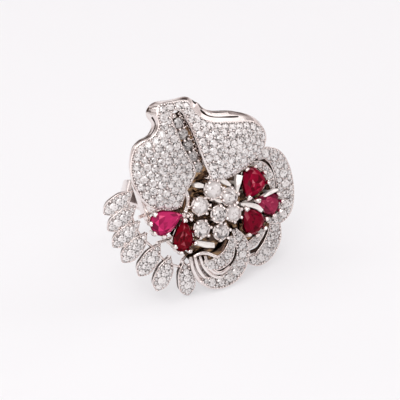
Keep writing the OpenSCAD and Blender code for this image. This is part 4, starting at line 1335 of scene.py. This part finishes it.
def grain_plan(surface, stones, spacing, rim):
    """Places of the beads: the widest gaps between the stones first."""
    room = rooms(surface, stones, rim)
    taken = np.zeros(len(room), bool)
    grains = []
    for i in np.argsort(-room):
        if room[i] < BEAD_ROOM[0] or len(grains) >= BEADS_MOST:
            return grains
        if not taken[i]:
            grains.append((i, min(room[i], BEAD_ROOM[1])))
            taken |= np.linalg.norm(surface.points - surface.points[i], axis=1) < spacing
    return grains


def lengths_along(path):
    """The length of a path up to each of its points."""
    return np.concatenate([[0], np.cumsum(np.linalg.norm(np.diff(path[:, :3], axis=0), axis=1))])


def path_seats(path, places):
    """Seats along a strip's path: places are (share of its length, radius)."""
    runs = lengths_along(path)

    def at(run):
        return np.array([np.interp(run, runs, path[:, column]) for column in range(4)])

    seats = []
    for share, radius in places:
        run = share * runs[-1]
        here = at(run)
        ahead = unit(at(run + 0.1)[:3] - at(run - 0.1)[:3])
        up = np.cross(ahead, unit(np.cross((0, 0, 1), ahead)))
        seats.append((here[:3] - GIRDLE_SINK * up + STRIP_DOME * here[3] * up, up, ahead, radius))
    return seats


def stone_seat(field, i, radius, rng):
    """A small stone's seat at a point of its field, turned at random."""
    up = field.up[i]
    return field.points[i] - GIRDLE_SINK * up, up, unit(np.cross(up, rng.random(3))), radius


def bead_seat(field, i, room):
    """A bead's seat at a point of its field, larger where there is room."""
    up, radius = field.up[i], BEAD_R + BEAD_GROWTH * room
    return field.points[i] - BEAD_SINK * up, up, unit(np.cross(up, (0.3, 1, 0.2))), radius


def strip_seats(path, places, rng, spacing):
    """All that is set on a strip: the main stones at their places, smaller ones in the gaps, and beads."""
    field = strip_field(path)
    stones = path_seats(path, places)
    taken = [(place + GIRDLE_SINK * up, radius) for place, up, _, radius in stones]
    fillers = filler_plan(field, taken, STRIP_FILLERS, STRIP_RIM)
    stones += [stone_seat(field, i, radius, rng) for i, radius in fillers]
    taken += [(field.points[i], radius) for i, radius in fillers]
    plan = grain_plan(field, taken, spacing, STRIP_RIM * STRIP_BEADS_RIM)
    return stones, [bead_seat(field, i, room) for i, room in plan]


def small_diamonds(name, seats, material, node):
    """One piece of small diamonds on their seats."""
    gem = gem_mesh("gem", cut_stone(round_outline, **SMALL_CUT))
    return set_on_seats(name, seats, gem, material, node)


def bead_piece(name, seats):
    """One piece of beads on their seats."""
    bright = materials()["white_gold_polished"]
    return set_on_seats(name, seats, plain_mesh("bead", bead()), bright, "setting", 60)


# Claws


def cluster_claws():
    """Seats of the claws round the cluster's stones, where there is room, and beside the left wall."""
    seats = []
    middle = np.array(CLUSTER_ROWS[CLUSTER_MIDDLE])
    for x, y, z, r in CLUSTER_ROWS:
        out = math.atan2(y - middle[1], x - middle[0])
        for turn in np.arange(6) * math.pi / 3 + out + math.pi / 6:
            way = round_outline(turn)
            place = np.array((x, y)) + (r + CLAW_REACH) * way
            others = [np.linalg.norm(place - row[:2]) - row[3] for row in np.array(CLUSTER_ROWS)]
            near = [np.linalg.norm(place - np.array(seat[0][:2])) for seat in seats]
            if sorted(others)[1] > CLAW_ROOM and min(near, default=1) > CLAW_APART:
                seats.append(((*place, z), (0, 0, 1), (*-way, 0), CLAW_SIZE))
    for x, y, z, turn in LEFT_CLAWS:
        way = round_outline(math.radians(turn))
        seats.append(((x, y, z), (0, 0, 1), (*-way, 0), LEFT_CLAW_SIZE))
    return seats


def groove_claws():
    """Seats of the two claws between each stone of the groove and the next."""
    seats = []
    spots = [np.array((x, y, groove_floor_z(y) + GROOVE_STAND)) for x, y in GROOVE_SEATS]
    for a, b in zip(spots, spots[1:]):
        way = unit((b - a)[:2])
        for side in (-1, 1):
            place = (a + b) / 2 + side * GROOVE_CLAW_SIDE * np.array((-way[1], way[0], 0))
            inwards = side * np.array((way[1], -way[0]))
            seats.append((tuple(place), (0, 0, 1), (*inwards, 0), GROOVE_CLAW_SIZE))
    return seats


def ruby_claws():
    """Seats of the claws round each ruby's back and of the one at its point."""
    seats = []
    for row in RUBY_ROWS:
        lay = ruby_matrix(row)
        turned = lay.to_3x3()
        up = turned @ Vector((0, 0, 1))
        spots = [pear(row[5], row[6], math.radians(a)) for a in RUBY_CLAWS] + [np.array((row[5] / 2, 0))]
        for q in spots:
            way = unit(q)
            place = lay @ Vector((*(q + CLAW_REACH * way), 0))
            inwards = turned @ Vector((*-way, 0))
            seats.append((tuple(place), tuple(up), tuple(inwards), RUBY_CLAW_SIZE))
    return seats


# Properties


def colour_setting(name, description, default):
    return bpy.props.FloatVectorProperty(
        name=name, description=description, subtype="COLOR", size=3, default=default
    )


def length_setting(name, description, default, least, most):
    return bpy.props.FloatProperty(
        name=name, description=description, default=default, min=least, max=most, unit="LENGTH", precision=5
    )


class RingMetal(bpy.types.PropertyGroup):
    """Colours and polish of the metal"""

    metal: colour_setting("White gold", "Polished metal", (0.88, 0.83, 0.81))
    metal_warm: colour_setting("Warm cast", "Warmer clouding of the polished metal", (0.80, 0.71, 0.69))
    bed: colour_setting("Bed", "Metal between the small stones", (0.88, 0.82, 0.81))
    # Painted shade: the dark specks of the bed's grain
    bed_dark: colour_setting("Bed, dark", "Dark grain of the bed", (0.30, 0.24, 0.22))
    # Painted shade under the cluster, and the painted golden gleam in the recesses
    deep: colour_setting("Deep metal", "Metal in the shade under the cluster", (0.36, 0.24, 0.14))
    # Painted shade in the slots and recesses
    recess: colour_setting("Recesses", "Darkened metal in the slots", (0.075, 0.05, 0.04))
    # Painted highlight of the blades
    blade: colour_setting("Blades", "Bright blades between the stones", (1.0, 0.98, 0.95))
    polish: bpy.props.FloatProperty(
        name="Roughness", description="Roughness of the polished metal", default=0.12, min=0.02, max=0.5,
        subtype="FACTOR",
    )


class RingStones(bpy.types.PropertyGroup):
    """Sizes and colours of the stones"""

    pave_d: length_setting(
        "Small diamond", "Diameter of the petal's diamonds", 1.36 * MM, MM, 1.6 * MM
    )
    pave_pitch: length_setting(
        "Pitch", "Distance between their middles", 1.36 * MM, 1.1 * MM, 2 * MM
    )
    groove_d: length_setting(
        "Groove diamond", "Diameter of the diamonds in the groove", 1.85 * MM, MM, 1.9 * MM
    )
    # The diamonds' facets take these as painted reflections
    diamond: colour_setting("Diamond", "Bright diamonds", (1.0, 0.97, 0.965))
    diamond_grey: colour_setting("Diamond, grey", "Greyer diamonds", (0.66, 0.61, 0.60))
    ruby_1: colour_setting("Ruby 1", "Pink ruby beside the petal", (0.50, 0.026, 0.125))
    ruby_2: colour_setting("Ruby 2", "Dark ruby beside the first", (0.175, 0.001, 0.009))
    ruby_3: colour_setting("Ruby 3", "Upper ruby on the right", (0.25, 0.001, 0.022))
    ruby_4: colour_setting("Ruby 4", "Middle ruby on the right", (0.29, 0.022, 0.066))
    ruby_5: colour_setting("Ruby 5", "Lower ruby on the right", (0.19, 0.001, 0.016))


class RingStage(bpy.types.PropertyGroup):
    """Floor, light and camera"""

    floor: colour_setting("Floor", "Colour of the floor", (0.44, 0.44, 0.45))
    distance: length_setting("Camera distance", "From the camera to the ring", 0.35, 0.1, 2)


def materials():
    """The ring's finishes by name, made at first use."""
    scene = bpy.context.scene
    metal, stones = scene.ring_metal, scene.ring_stones
    makers = {
        "white_gold_polished": lambda: white_gold(metal),
        "white_gold_bed": lambda: bed_gold(metal),
        "white_gold_inner": lambda: inner_gold(metal),
        "white_gold_recess": lambda: recess_gold(metal),
        "white_gold_shade": lambda: shade_gold(metal),
        "white_gold_bright": lambda: bright_gold(metal),
        # Copies of one diamond in painted shade: the cluster at full light, then the right lobe, the right
        # scroll and leaves, the left lobe, the groove, and the low and middle scrolls darkest
        "diamond_left": lambda: diamond(stones, "diamond_left", 0.12, 0.82, small=True),
        "diamond_right": lambda: diamond(stones, "diamond_right", 0.12, 0.95, small=True),
        "diamond_strip": lambda: diamond(stones, "diamond_strip", 0.12, 0.88),
        "diamond_low": lambda: diamond(stones, "diamond_low", 0.12, 0.74),
        "diamond_cut": lambda: diamond(stones, "diamond_cut", 0.28),
        "diamond_shade": lambda: diamond(stones, "diamond_shade", 0.4, 0.75),
        **{f"ruby_{i}": lambda i=i: ruby(f"ruby_{i}", getattr(stones, f"ruby_{i}")) for i in range(1, 6)},
    }
    return {name: bpy.data.materials.get(name) or make() for name, make in makers.items()}


# Operators


class RING_OT_band(bpy.types.Operator):
    """Make the band and its shoulders"""

    bl_idname = "ring.band"
    bl_label = "Band"

    def execute(self, context):
        hole = next(m for m in frame["record"]["mounts"] if m["name"] == "finger_hole")
        inner = hole["dims"]["r_mm"]
        middle = HEAD @ Vector((0, 0, -inner - BAND_THICK))
        if (middle - Vector(hole["pos_m"])).length > 0.05 * MM:
            raise ValueError("the head's frame has moved off the record's finger hole")
        polished = materials()["white_gold_polished"]
        lean = Matrix.Rotation(-BAND_LEAN, 4, "Z")
        sizes = {
            "Radius": inner + BAND_THICK / 2, "Thick": BAND_THICK, "Width": BAND_W, "Fillet": BAND_FILLET,
            "Sides": BAND_SIDES,
        }
        upright = Matrix.Rotation(math.pi / 2, 4, "X")
        hoop_piece("band", sizes, Matrix.Translation((0, 0, -inner - BAND_THICK)) @ lean @ upright, polished)
        shoulders = Shape()
        for side in (-1, 1):
            rings = []
            for away, z, thick, wide in smooth_rows(SHOULDER_ROWS, 5):
                outline = slab_section(thick, -wide, wide, SHOULDER_FILLET)
                rings.append([lean @ Vector((side * away + x, y, z)) for x, y in outline])
            shoulders.loft(rings)
        metal_piece("shoulders", shoulders, polished)
        return {"FINISHED"}


class RING_OT_petal(bpy.types.Operator):
    """Make the petal's pierced shell and the floor of its groove"""

    bl_idname = "ring.petal"
    bl_label = "Petal"

    def execute(self, context):
        rows = smooth_rows(PETAL_ROWS, PETAL_STEPS)
        shell = Shape().loft([
            [petal_point(row, out, x, z) for x, z in petal_section(row)]
            for row, out in zip(rows, outward(rows))
        ])
        piece = linked("petal", plain_mesh("petal", shell))
        slots, shade_linings = Shape(), Shape()
        for slot in PETAL_SLOTS:
            slots.tube(*slot_path(slot, False), 12)
            shade_linings.tube(*slot_path(slot, True), 12)
        cut_away(piece, linked("slots", plain_mesh("slots", slots)))
        finished(piece, materials()["white_gold_polished"], "setting", 38)
        metal_piece("petal_slot_shades", shade_linings, materials()["white_gold_shade"])
        first, last = PETAL_BED_BARE
        bed = Shape().loft([petal_bed_ring(row) for row in rows[first:-last]])
        metal_piece("petal_bed", bed, materials()["white_gold_bed"])
        path = smooth_rows(GROOVE_FLOOR, 6) + (0, 0, GROOVE_RAISE)
        for name, bottom, top, material in GROOVE_LAYERS:
            section = slab_section(GROOVE_HALF, bottom, top, GROOVE_FILLET)
            metal_piece(name, Shape().swept(path, lambda i: section), materials()[material])
        return {"FINISHED"}


class RING_OT_scrolls(bpy.types.Operator):
    """Make the three scrolls with their crescents and ridges"""

    bl_idname = "ring.scrolls"
    bl_label = "Scrolls"

    def execute(self, context):
        polished = materials()["white_gold_polished"]
        beds = Shape()
        for name, rows in SCROLL_PATHS.items():
            path = smooth_rows(rows, 8)
            shape = Shape().swept(path, lambda i: scroll_section(path[i][3]))
            metal_piece("scroll_" + name, shape, polished)
            beds.swept(path, lambda i: bed_section(path[i][3]))
        metal_piece("scroll_beds", beds, materials()["white_gold_bed"])
        ridges = Shape()
        for rows in MIDDLE_RIDGES:
            path = smooth_rows(rows, 8)
            ends = np.sin(np.linspace(RIDGE_END, math.pi - RIDGE_END, len(path))) ** RIDGE_FULLNESS
            ridges.tube(path, RIDGE_R * ends, 12)
        metal_piece("scroll_ridges", ridges, polished)
        section = slab_section(RIDGE_PLATE_HALF, -RIDGE_PLATE_THICK, 0, RIDGE_FILLET)
        slab_piece("ridge_plate", RIDGE_PLATE, section, materials()["white_gold_bed"])
        section = slab_section(RIDGE_WEB_HALF, -RIDGE_WEB_THICK, 0, RIDGE_FILLET)
        slab_piece("ridge_web", RIDGE_WEB, section, materials()["white_gold_recess"])
        wires_piece("scroll_slot_shades", SLOT_SHADES, SLOT_SHADE_R, materials()["white_gold_shade"])
        return {"FINISHED"}


class RING_OT_leaves(bpy.types.Operator):
    """Make the fan of seven leaves"""

    bl_idname = "ring.leaves"
    bl_label = "Leaves"

    def execute(self, context):
        leaves, beds = Shape(), Shape()
        for row in LEAF_ROWS:
            path = leaf_path(row, LEAF_STEPS)
            leaves.swept(path, lambda i: leaf_section(path[i][3]))
            inner = path[1:-1]
            beds.swept(inner, lambda i: bed_section(inner[i][3]))
        metal_piece("leaves", leaves, materials()["white_gold_polished"])
        metal_piece("leaf_beds", beds, materials()["white_gold_bed"])
        notch_shades = Shape()
        for row in LEAF_ROWS:
            path = leaf_path(row, LEAF_STEPS)[2:-2]
            notch_shades.swept(path, lambda i: notch_section(path[i][3]))
        metal_piece("leaf_notches", notch_shades, materials()["white_gold_shade"])
        return {"FINISHED"}


class RING_OT_gallery(bpy.types.Operator):
    """Make the gallery ring, its bars and the wires that carry the pieces"""

    bl_idname = "ring.gallery"
    bl_label = "Gallery"

    def execute(self, context):
        polished = materials()["white_gold_polished"]
        sizes = {
            "Radius": GALLERY_R, "Thick": GALLERY_WIRE, "Width": GALLERY_WIRE, "Fillet": GALLERY_FILLET,
            "Sides": GALLERY_SIDES,
        }
        hoop_piece("gallery_ring", sizes, Matrix.Translation((0, 0, GALLERY_Z)), polished)
        bars = []
        for turn in GALLERY_BARS:
            end = GALLERY_R * round_outline(math.radians(turn))
            bars.append([(-end[0], -end[1], GALLERY_Z), (0, 0, GALLERY_Z), (end[0], end[1], GALLERY_Z)])
        for row in RUBY_ROWS:
            top = np.array(row[:2]) + RUBY_FOOT_SHARE * row[5] * round_outline(math.radians(row[3]))
            foot = unit(top) * GALLERY_R
            bend = (top + foot) / 2
            bars.append([(*top, row[2] - RUBY_DEEP), (*bend, RUBY_FOOT_BEND), (*foot, GALLERY_Z)])
        wires_piece("gallery_bars", bars, GALLERY_BAR_R, polished)
        wires_piece("struts", STRUTS, STRUT_R, polished)
        wires_piece("leaf_rail", [LEAF_RAIL], LEAF_RAIL_R, polished)
        wires_piece("leaf_struts", LEAF_STRUTS, LEAF_STRUT_R, polished)
        section = slab_section(SCREEN_HALF, -SCREEN_DEEP, 0, SCREEN_FILLET)
        slab_piece("leaf_screen", LEAF_SCREEN, section, polished)
        self.under_plate()
        return {"FINISHED"}

    def under_plate(self):
        """A wavy plate that closes the gallery, so that the gaps between the stones look into shade:
        polished below, with a top skin of painted shade.
        """
        edge = smooth_rows([*UNDER_PLATE, UNDER_PLATE[0]], 8)[:-1]
        middle = edge.mean(axis=0)
        points = np.arange(len(edge))
        upper = []
        for share in PLATE_SHARES:
            waves = PLATE_WAVE
            for along, outwards in PLATE_TURNS:
                waves = waves * np.sin(along * points + outwards * share)
            z = PLATE_MIDDLE_Z + (PLATE_EDGE_Z - PLATE_MIDDLE_Z) * share**2
            upper.append([(*(middle + share * (q - middle)), z + waves[i]) for i, q in enumerate(edge)])
        for name, top, bottom, material in PLATE_LAYERS:
            rings = [[(x, y, z - top) for x, y, z in ring] for ring in upper]
            rings += [[(x, y, z - bottom) for x, y, z in ring] for ring in upper[::-1]]
            metal_piece(name, Shape().loft(rings, closed=True), materials()[material])


class RING_OT_mounts(bpy.types.Operator):
    """Make the cups, collars, claws and blades that hold the main stones"""

    bl_idname = "ring.mounts"
    bl_label = "Stone mounts"

    def execute(self, context):
        inner = materials()["white_gold_inner"]
        polished = materials()["white_gold_polished"]
        self.cups(inner)
        self.collars(polished)
        self.claws(polished)
        section = slab_section(LEFT_WALL_HALF[0], -LEFT_WALL_DEEP, 0, LEFT_WALL_FILLET, LEFT_WALL_HALF[1])
        slab_piece("left_wall", LEFT_WALL, section, polished)
        self.blades()
        return {"FINISHED"}

    def cups(self, inner):
        """A cup under each stone of the cluster, standing on the gallery."""
        cups = Shape()
        for x, y, z, r in CLUSTER_ROWS:
            cups.revolve((x, y), [
                (0.5 * r, GALLERY_Z - 0.2), (0.62 * r, 2.6), (r - 0.15, z - 1.2),
                (r + CUP_REACH - 0.08, z - 0.5), (r + CUP_REACH, z - 0.24), (r + CUP_REACH - 0.08, z - 0.14),
                (0.95 * r, z - 0.17), (0.25 * r, z - 1.7),
            ], CUP_SIDES)
        metal_piece("cluster_cups", cups, inner)

    def collars(self, polished):
        """A hollow collar under each ruby."""
        collars = Shape()
        turns = [2 * math.pi * (j + 0.5) / COLLAR_SIDES for j in range(COLLAR_SIDES)]
        # Each ring: how much longer and wider than the stone, its share of that size, its height
        profile = [
            (0, 0.62, -COLLAR_LOW), (0.2, 0.80, -1.2), (COLLAR_GROW, 0.98, -COLLAR_TOP - 0.12),
            (COLLAR_GROW, 0.97, -COLLAR_TOP + 0.10), (0, 0.94, -COLLAR_TOP), (0, 0.36, -COLLAR_LOW),
        ]
        for row in RUBY_ROWS:
            length, width = row[5], row[6]
            rings = [
                [(*(pear(length + grow, width + grow, t) * share), z) for t in turns]
                for grow, share, z in profile
            ]
            collars.placed(Shape().loft(rings, closed=True), ruby_matrix(row))
        metal_piece("ruby_collars", collars, polished)

    def blades(self):
        """Blades between the stones, each on a post."""
        blades = Shape()
        for rows in BLADES:
            path = smooth_rows(rows, 6)
            rings = []
            for p, way in zip(path, headings(path)):
                across = unit(np.cross((0, 0, 1), way))
                outline = slab_section(p[3], -BLADE_TALL, BLADE_TALL, BLADE_FILLET, p[3] * BLADE_TAPER)
                rise = across[0] * BLADE_TIP[0] + across[1] * BLADE_TIP[1]
                rings.append([p[:3] + q[0] * across + (0, 0, q[1] + q[0] * rise) for q in outline])
            blades.loft(rings)
            top = path[len(path) // 2]
            blades.revolve(top, [(BLADE_POST[0], GALLERY_Z), (BLADE_POST[1], top[2])], 12)
        metal_piece("blades", blades, materials()["white_gold_bright"], 45)

    def claws(self, polished):
        seats = cluster_claws() + groove_claws() + ruby_claws()
        set_on_seats("claws", seats, plain_mesh("claw", claw()), polished, "setting", 50)


class RING_OT_pave(bpy.types.Operator):
    """Set the small diamonds and their beads on the petal, scrolls and leaves"""

    bl_idname = "ring.pave"
    bl_label = "Small diamonds"

    def execute(self, context):
        rng = np.random.default_rng(STONE_SEED)
        self.petal(context.scene.ring_stones, rng)
        self.groove(rng)
        beads = self.scrolls(rng) + self.leaves(rng)
        bead_piece("edge_beads", beads)
        return {"FINISHED"}

    def petal(self, stones, rng):
        """The petal's stones, in a left and a right piece, and the beads between them."""
        radius, pitch = stones.pave_d / 2 / MM, stones.pave_pitch / MM
        field = petal_field()
        chosen = [(i, radius) for i in pave_plan(field, pitch, RIM_W + radius + RIM_GAP)]
        taken = [(field.points[i], r) for i, r in chosen]
        chosen += filler_plan(field, taken, PETAL_FILLERS, RIM_W)
        seats = {"left": [], "right": []}
        for i, r in chosen:
            side = "left" if field.row[i] < PETAL_TOP_ROW else "right"
            seats[side].append(stone_seat(field, i, r, rng))
        for side, rows in seats.items():
            gem = materials()["diamond_" + side]
            small_diamonds("petal_diamonds_" + side, rows, gem, "petal_stones_" + side)
        taken = [(field.points[i], r) for i, r in chosen]
        plan = grain_plan(field, taken, PETAL_BEADS_APART, RIM_W * PETAL_BEADS_RIM)
        bead_piece("petal_beads", [bead_seat(field, i, room) for i, room in plan])

    def groove(self, rng):
        """Grains along both sides of the groove, stepping in and out, and a large one at its top."""
        grains = []
        line = [GROOVE_TOP, *GROOVE_SEATS]
        path = smooth_rows([(x, y, groove_floor_z(y) + GROOVE_RAISE) for x, y in line], 5)
        for i, (here, way) in enumerate(zip(path, headings(path))):
            for side in (-1, 1):
                apart = GROOVE_GRAINS_APART + GROOVE_GRAINS_STEP * (-1) ** i
                place = here + side * apart * np.cross((0, 0, 1), way)
                grains.append((place, (0, 0, 1), (1, 0, 0), rng.uniform(*GROOVE_GRAIN_SIZES)))
        end = (*GROOVE_END, groove_floor_z(GROOVE_END[1]) + GROOVE_RAISE)
        grains.append((end, (0, 0, 1), (1, 0, 0), GROOVE_END_R))
        bead_piece("groove_beads", grains)

    def scrolls(self, rng):
        """The scrolls' stones. Gives their beads."""
        beads = []
        for part in ("right", "low", "middle"):
            rows = []
            for name in (part + "_band", part + "_crescent"):
                path = smooth_rows(SCROLL_PATHS[name], 12)
                count, across, start, end = SCROLL_STONES[name]
                shares = np.linspace(start, 1 - end, count)
                runs = lengths_along(path)
                half = np.interp(shares * runs[-1], runs, path[:, 3])
                fits = np.minimum(across / 2, half - STRIP_RIM - RIM_GAP)
                found, grains = strip_seats(path, list(zip(shares, fits)), rng, SCROLL_BEADS_APART)
                rows += found
                beads += grains
            gem = materials()["diamond_strip" if part == "right" else "diamond_low"]
            small_diamonds("scroll_diamonds_" + part, rows, gem, "scroll_stones_" + part)
        return beads

    def leaves(self, rng):
        """The leaves' stones. Gives their beads."""
        rows, beads = [], []
        places = [(share, across / 2) for share, across in LEAF_GEMS]
        for row in LEAF_ROWS:
            found, grains = strip_seats(leaf_path(row, 60), places, rng, LEAF_BEADS_APART)
            rows += found
            beads += grains
        small_diamonds("leaf_diamonds", rows, materials()["diamond_strip"], "leaf_stones")
        return beads


class RING_OT_cluster(bpy.types.Operator):
    """Make the cluster's seven diamonds and the five in the groove"""

    bl_idname = "ring.cluster"
    bl_label = "Main diamonds"

    def execute(self, context):
        groove_r = context.scene.ring_stones.groove_d / 2 / MM
        spots = {}
        for i, (x, y, z, r) in enumerate(CLUSTER_ROWS):
            spots[f"cluster_diamond_{i + 1}"] = ((x, y, z), r, CLUSTER_TONES[i])
        for i, (x, y) in enumerate(GROOVE_SEATS):
            place = (x, y, groove_floor_z(y) + GROOVE_STAND)
            spots[f"groove_diamond_{i + 1}"] = (place, groove_r, GROOVE_TONES[i])
        cut = cut_stone(round_outline, **MAIN_CUT)
        for i, (node, (place, r, tone)) in enumerate(spots.items()):
            turn = Matrix.Rotation(STONE_TURN * i, 4, "Z")
            shape = Shape().placed(cut, Matrix.Translation(place) @ turn @ Matrix.Scale(r, 4))
            material = materials()["diamond_shade" if node.startswith("groove") else "diamond_cut"]
            finished(linked("cut_" + node, gem_mesh(node, shape, i + 2, tone)), material, node)
        return {"FINISHED"}


class RING_OT_rubies(bpy.types.Operator):
    """Make the five pear-cut rubies"""

    bl_idname = "ring.rubies"
    bl_label = "Rubies"

    def execute(self, context):
        for i, row in enumerate(RUBY_ROWS):
            node = f"ruby_{i + 1}"
            cut = cut_stone(lambda turn: pear(row[5], row[6], turn), **RUBY_CUT)
            shape = Shape().placed(cut, ruby_matrix(row))
            piece = linked("cut_" + node, gem_mesh(node, shape, i, table=RUBY_TABLES[i]))
            finished(piece, materials()[node], node)
        return {"FINISHED"}


class RING_OT_stage(bpy.types.Operator):
    """Make the floor, the lights and the camera"""

    bl_idname = "ring.stage"
    bl_label = "Stage"

    # The camera in the head's frame: degrees left of the face's normal and above it, and its aim
    LEFT = math.radians(24.0)
    ABOVE = math.radians(4.5)
    AIM = (-2.564, 2.373, 4.654)
    LENS = 185.3
    SENSOR = 36.0
    # Half the floor's width in metres, and how much it glows by itself
    FLOOR_HALF = 1.5
    FLOOR_GLOW = 1.02
    # What the lights aim at
    LIT = Vector((0, -0.01, 0.015))
    # Name, place, size in metres, radiance and colour of each softbox
    SOFTBOXES = [
        ("key", (-0.28, 0.12, 0.60), 0.50, 2.1, (1, 1, 1)),
        ("front", (-0.30, -0.50, 0.64), 0.50, 2.7, (1, 0.99, 0.98)),
        ("left", (-0.60, -0.30, 0.20), 0.30, 1.4, (1, 0.97, 0.95)),
        ("right", (0.50, -0.10, 0.46), 0.45, 1.15, (1, 0.98, 0.98)),
    ]

    def execute(self, context):
        scene = context.scene
        stage = scene.ring_stage
        self.floor(stage)
        self.lights(scene)
        self.camera(scene, stage)
        scene.view_settings.view_transform = "Standard"
        return {"FINISHED"}

    def floor(self, stage):
        """A flat floor that glows a little, so that it stays even."""
        half = self.FLOOR_HALF
        mesh = bpy.data.meshes.new("floor")
        corners = [(-half, -half, 0), (half, -half, 0), (half, half, 0), (-half, half, 0)]
        mesh.from_pydata(corners, [], [(0, 1, 2, 3)])
        floor = linked("floor", mesh)
        f = Finish("floor_paper")
        grain = f.noise(300, 2)
        colour = f.mix(grain, rgba(stage.floor), rgba(tuple(c * 0.995 for c in stage.floor)))
        mesh.materials.append(f.surface({
            "Base Color": colour,
            "Roughness": 0.9,
            "Specular IOR Level": 0.1,
            "Emission Color": rgba(stage.floor),
            "Emission Strength": self.FLOOR_GLOW,
        }))

    def lights(self, scene):
        """A cloudy studio round the ring, and its softboxes."""
        world = bpy.data.worlds.new("studio")
        scene.world = world
        world.use_nodes = True
        graph = Graph(world.node_tree)
        way = graph.node("ShaderNodeTexCoord", out="Generated")
        cloud = graph.node("ShaderNodeTexNoise", {}, {"Vector": way, "Scale": 2.4, "Detail": 1.0}, out="Fac")
        stops = [(0.40, (0.10, 0.075, 0.07)), (0.50, (0.50, 0.44, 0.43)), (0.60, (1.0, 0.95, 0.95))]
        tone = graph.node("ShaderNodeValToRGB", {"stops": stops}, {"Fac": cloud}, out="Color")
        background = graph.node("ShaderNodeBackground", {}, {"Color": tone, "Strength": 1.0})
        graph.node("ShaderNodeOutputWorld", {}, {"Surface": background})
        for name, place, size, radiance, colour in self.SOFTBOXES:
            light = bpy.data.lights.new(name, "AREA")
            light.size, light.energy, light.color = size, radiance * math.pi * size**2, colour
            lamp = bpy.data.objects.new(name, light)
            scene.collection.objects.link(lamp)
            lamp.location = place
            lamp.rotation_euler = (self.LIT - Vector(place)).to_track_quat("-Z", "Y").to_euler()

    def camera(self, scene, stage):
        """The photo's camera, to the left of the face's normal and above it."""
        turn = HEAD.to_3x3().normalized()
        flat = math.cos(self.ABOVE)
        back = Vector((-math.sin(self.LEFT) * flat, math.sin(self.ABOVE), math.cos(self.LEFT) * flat))
        up = (Vector((0, 1, 0)) - back * back.y).normalized()
        right = up.cross(back)
        aim = HEAD @ Vector(self.AIM)
        data = bpy.data.cameras.new("camera")
        data.lens, data.sensor_width = self.LENS, self.SENSOR
        camera = bpy.data.objects.new("camera", data)
        scene.collection.objects.link(camera)
        place = aim + turn @ back * stage.distance
        axes = [turn @ right, turn @ up, turn @ back]
        rows = [(*(axis[i] for axis in axes), place[i]) for i in range(3)]
        camera.matrix_world = Matrix([*rows, (0, 0, 0, 1)])
        data.clip_end = 10
        scene.camera = camera


STEPS = ("band", "petal", "scrolls", "leaves", "gallery", "mounts", "pave", "cluster", "rubies", "stage")


class RING_PT_panel(bpy.types.Panel):
    """The ring's sizes, colours and steps"""

    bl_label = "Petal Cluster Ring"
    bl_idname = "RING_PT_panel"
    bl_space_type = "VIEW_3D"
    bl_region_type = "UI"
    bl_category = "Ring"

    def draw(self, context):
        for group in (context.scene.ring_metal, context.scene.ring_stones, context.scene.ring_stage):
            box = self.layout.box()
            for name in group.__annotations__:
                box.prop(group, name)
        for step in STEPS:
            self.layout.operator("ring." + step)


GROUPS = {"ring_metal": RingMetal, "ring_stones": RingStones, "ring_stage": RingStage}
CLASSES = (
    *GROUPS.values(), RING_OT_band, RING_OT_petal, RING_OT_scrolls, RING_OT_leaves, RING_OT_gallery,
    RING_OT_mounts, RING_OT_pave, RING_OT_cluster, RING_OT_rubies, RING_OT_stage, RING_PT_panel,
)


def register():
    for cls in CLASSES:
        bpy.utils.register_class(cls)
    for name, group in GROUPS.items():
        setattr(bpy.types.Scene, name, bpy.props.PointerProperty(type=group))


def unregister():
    for name in GROUPS:
        delattr(bpy.types.Scene, name)
    for cls in reversed(CLASSES):
        bpy.utils.unregister_class(cls)


def main():
    register()
    for step in STEPS:
        getattr(bpy.ops.ring, step)()


if __name__ == "__main__":
    main()
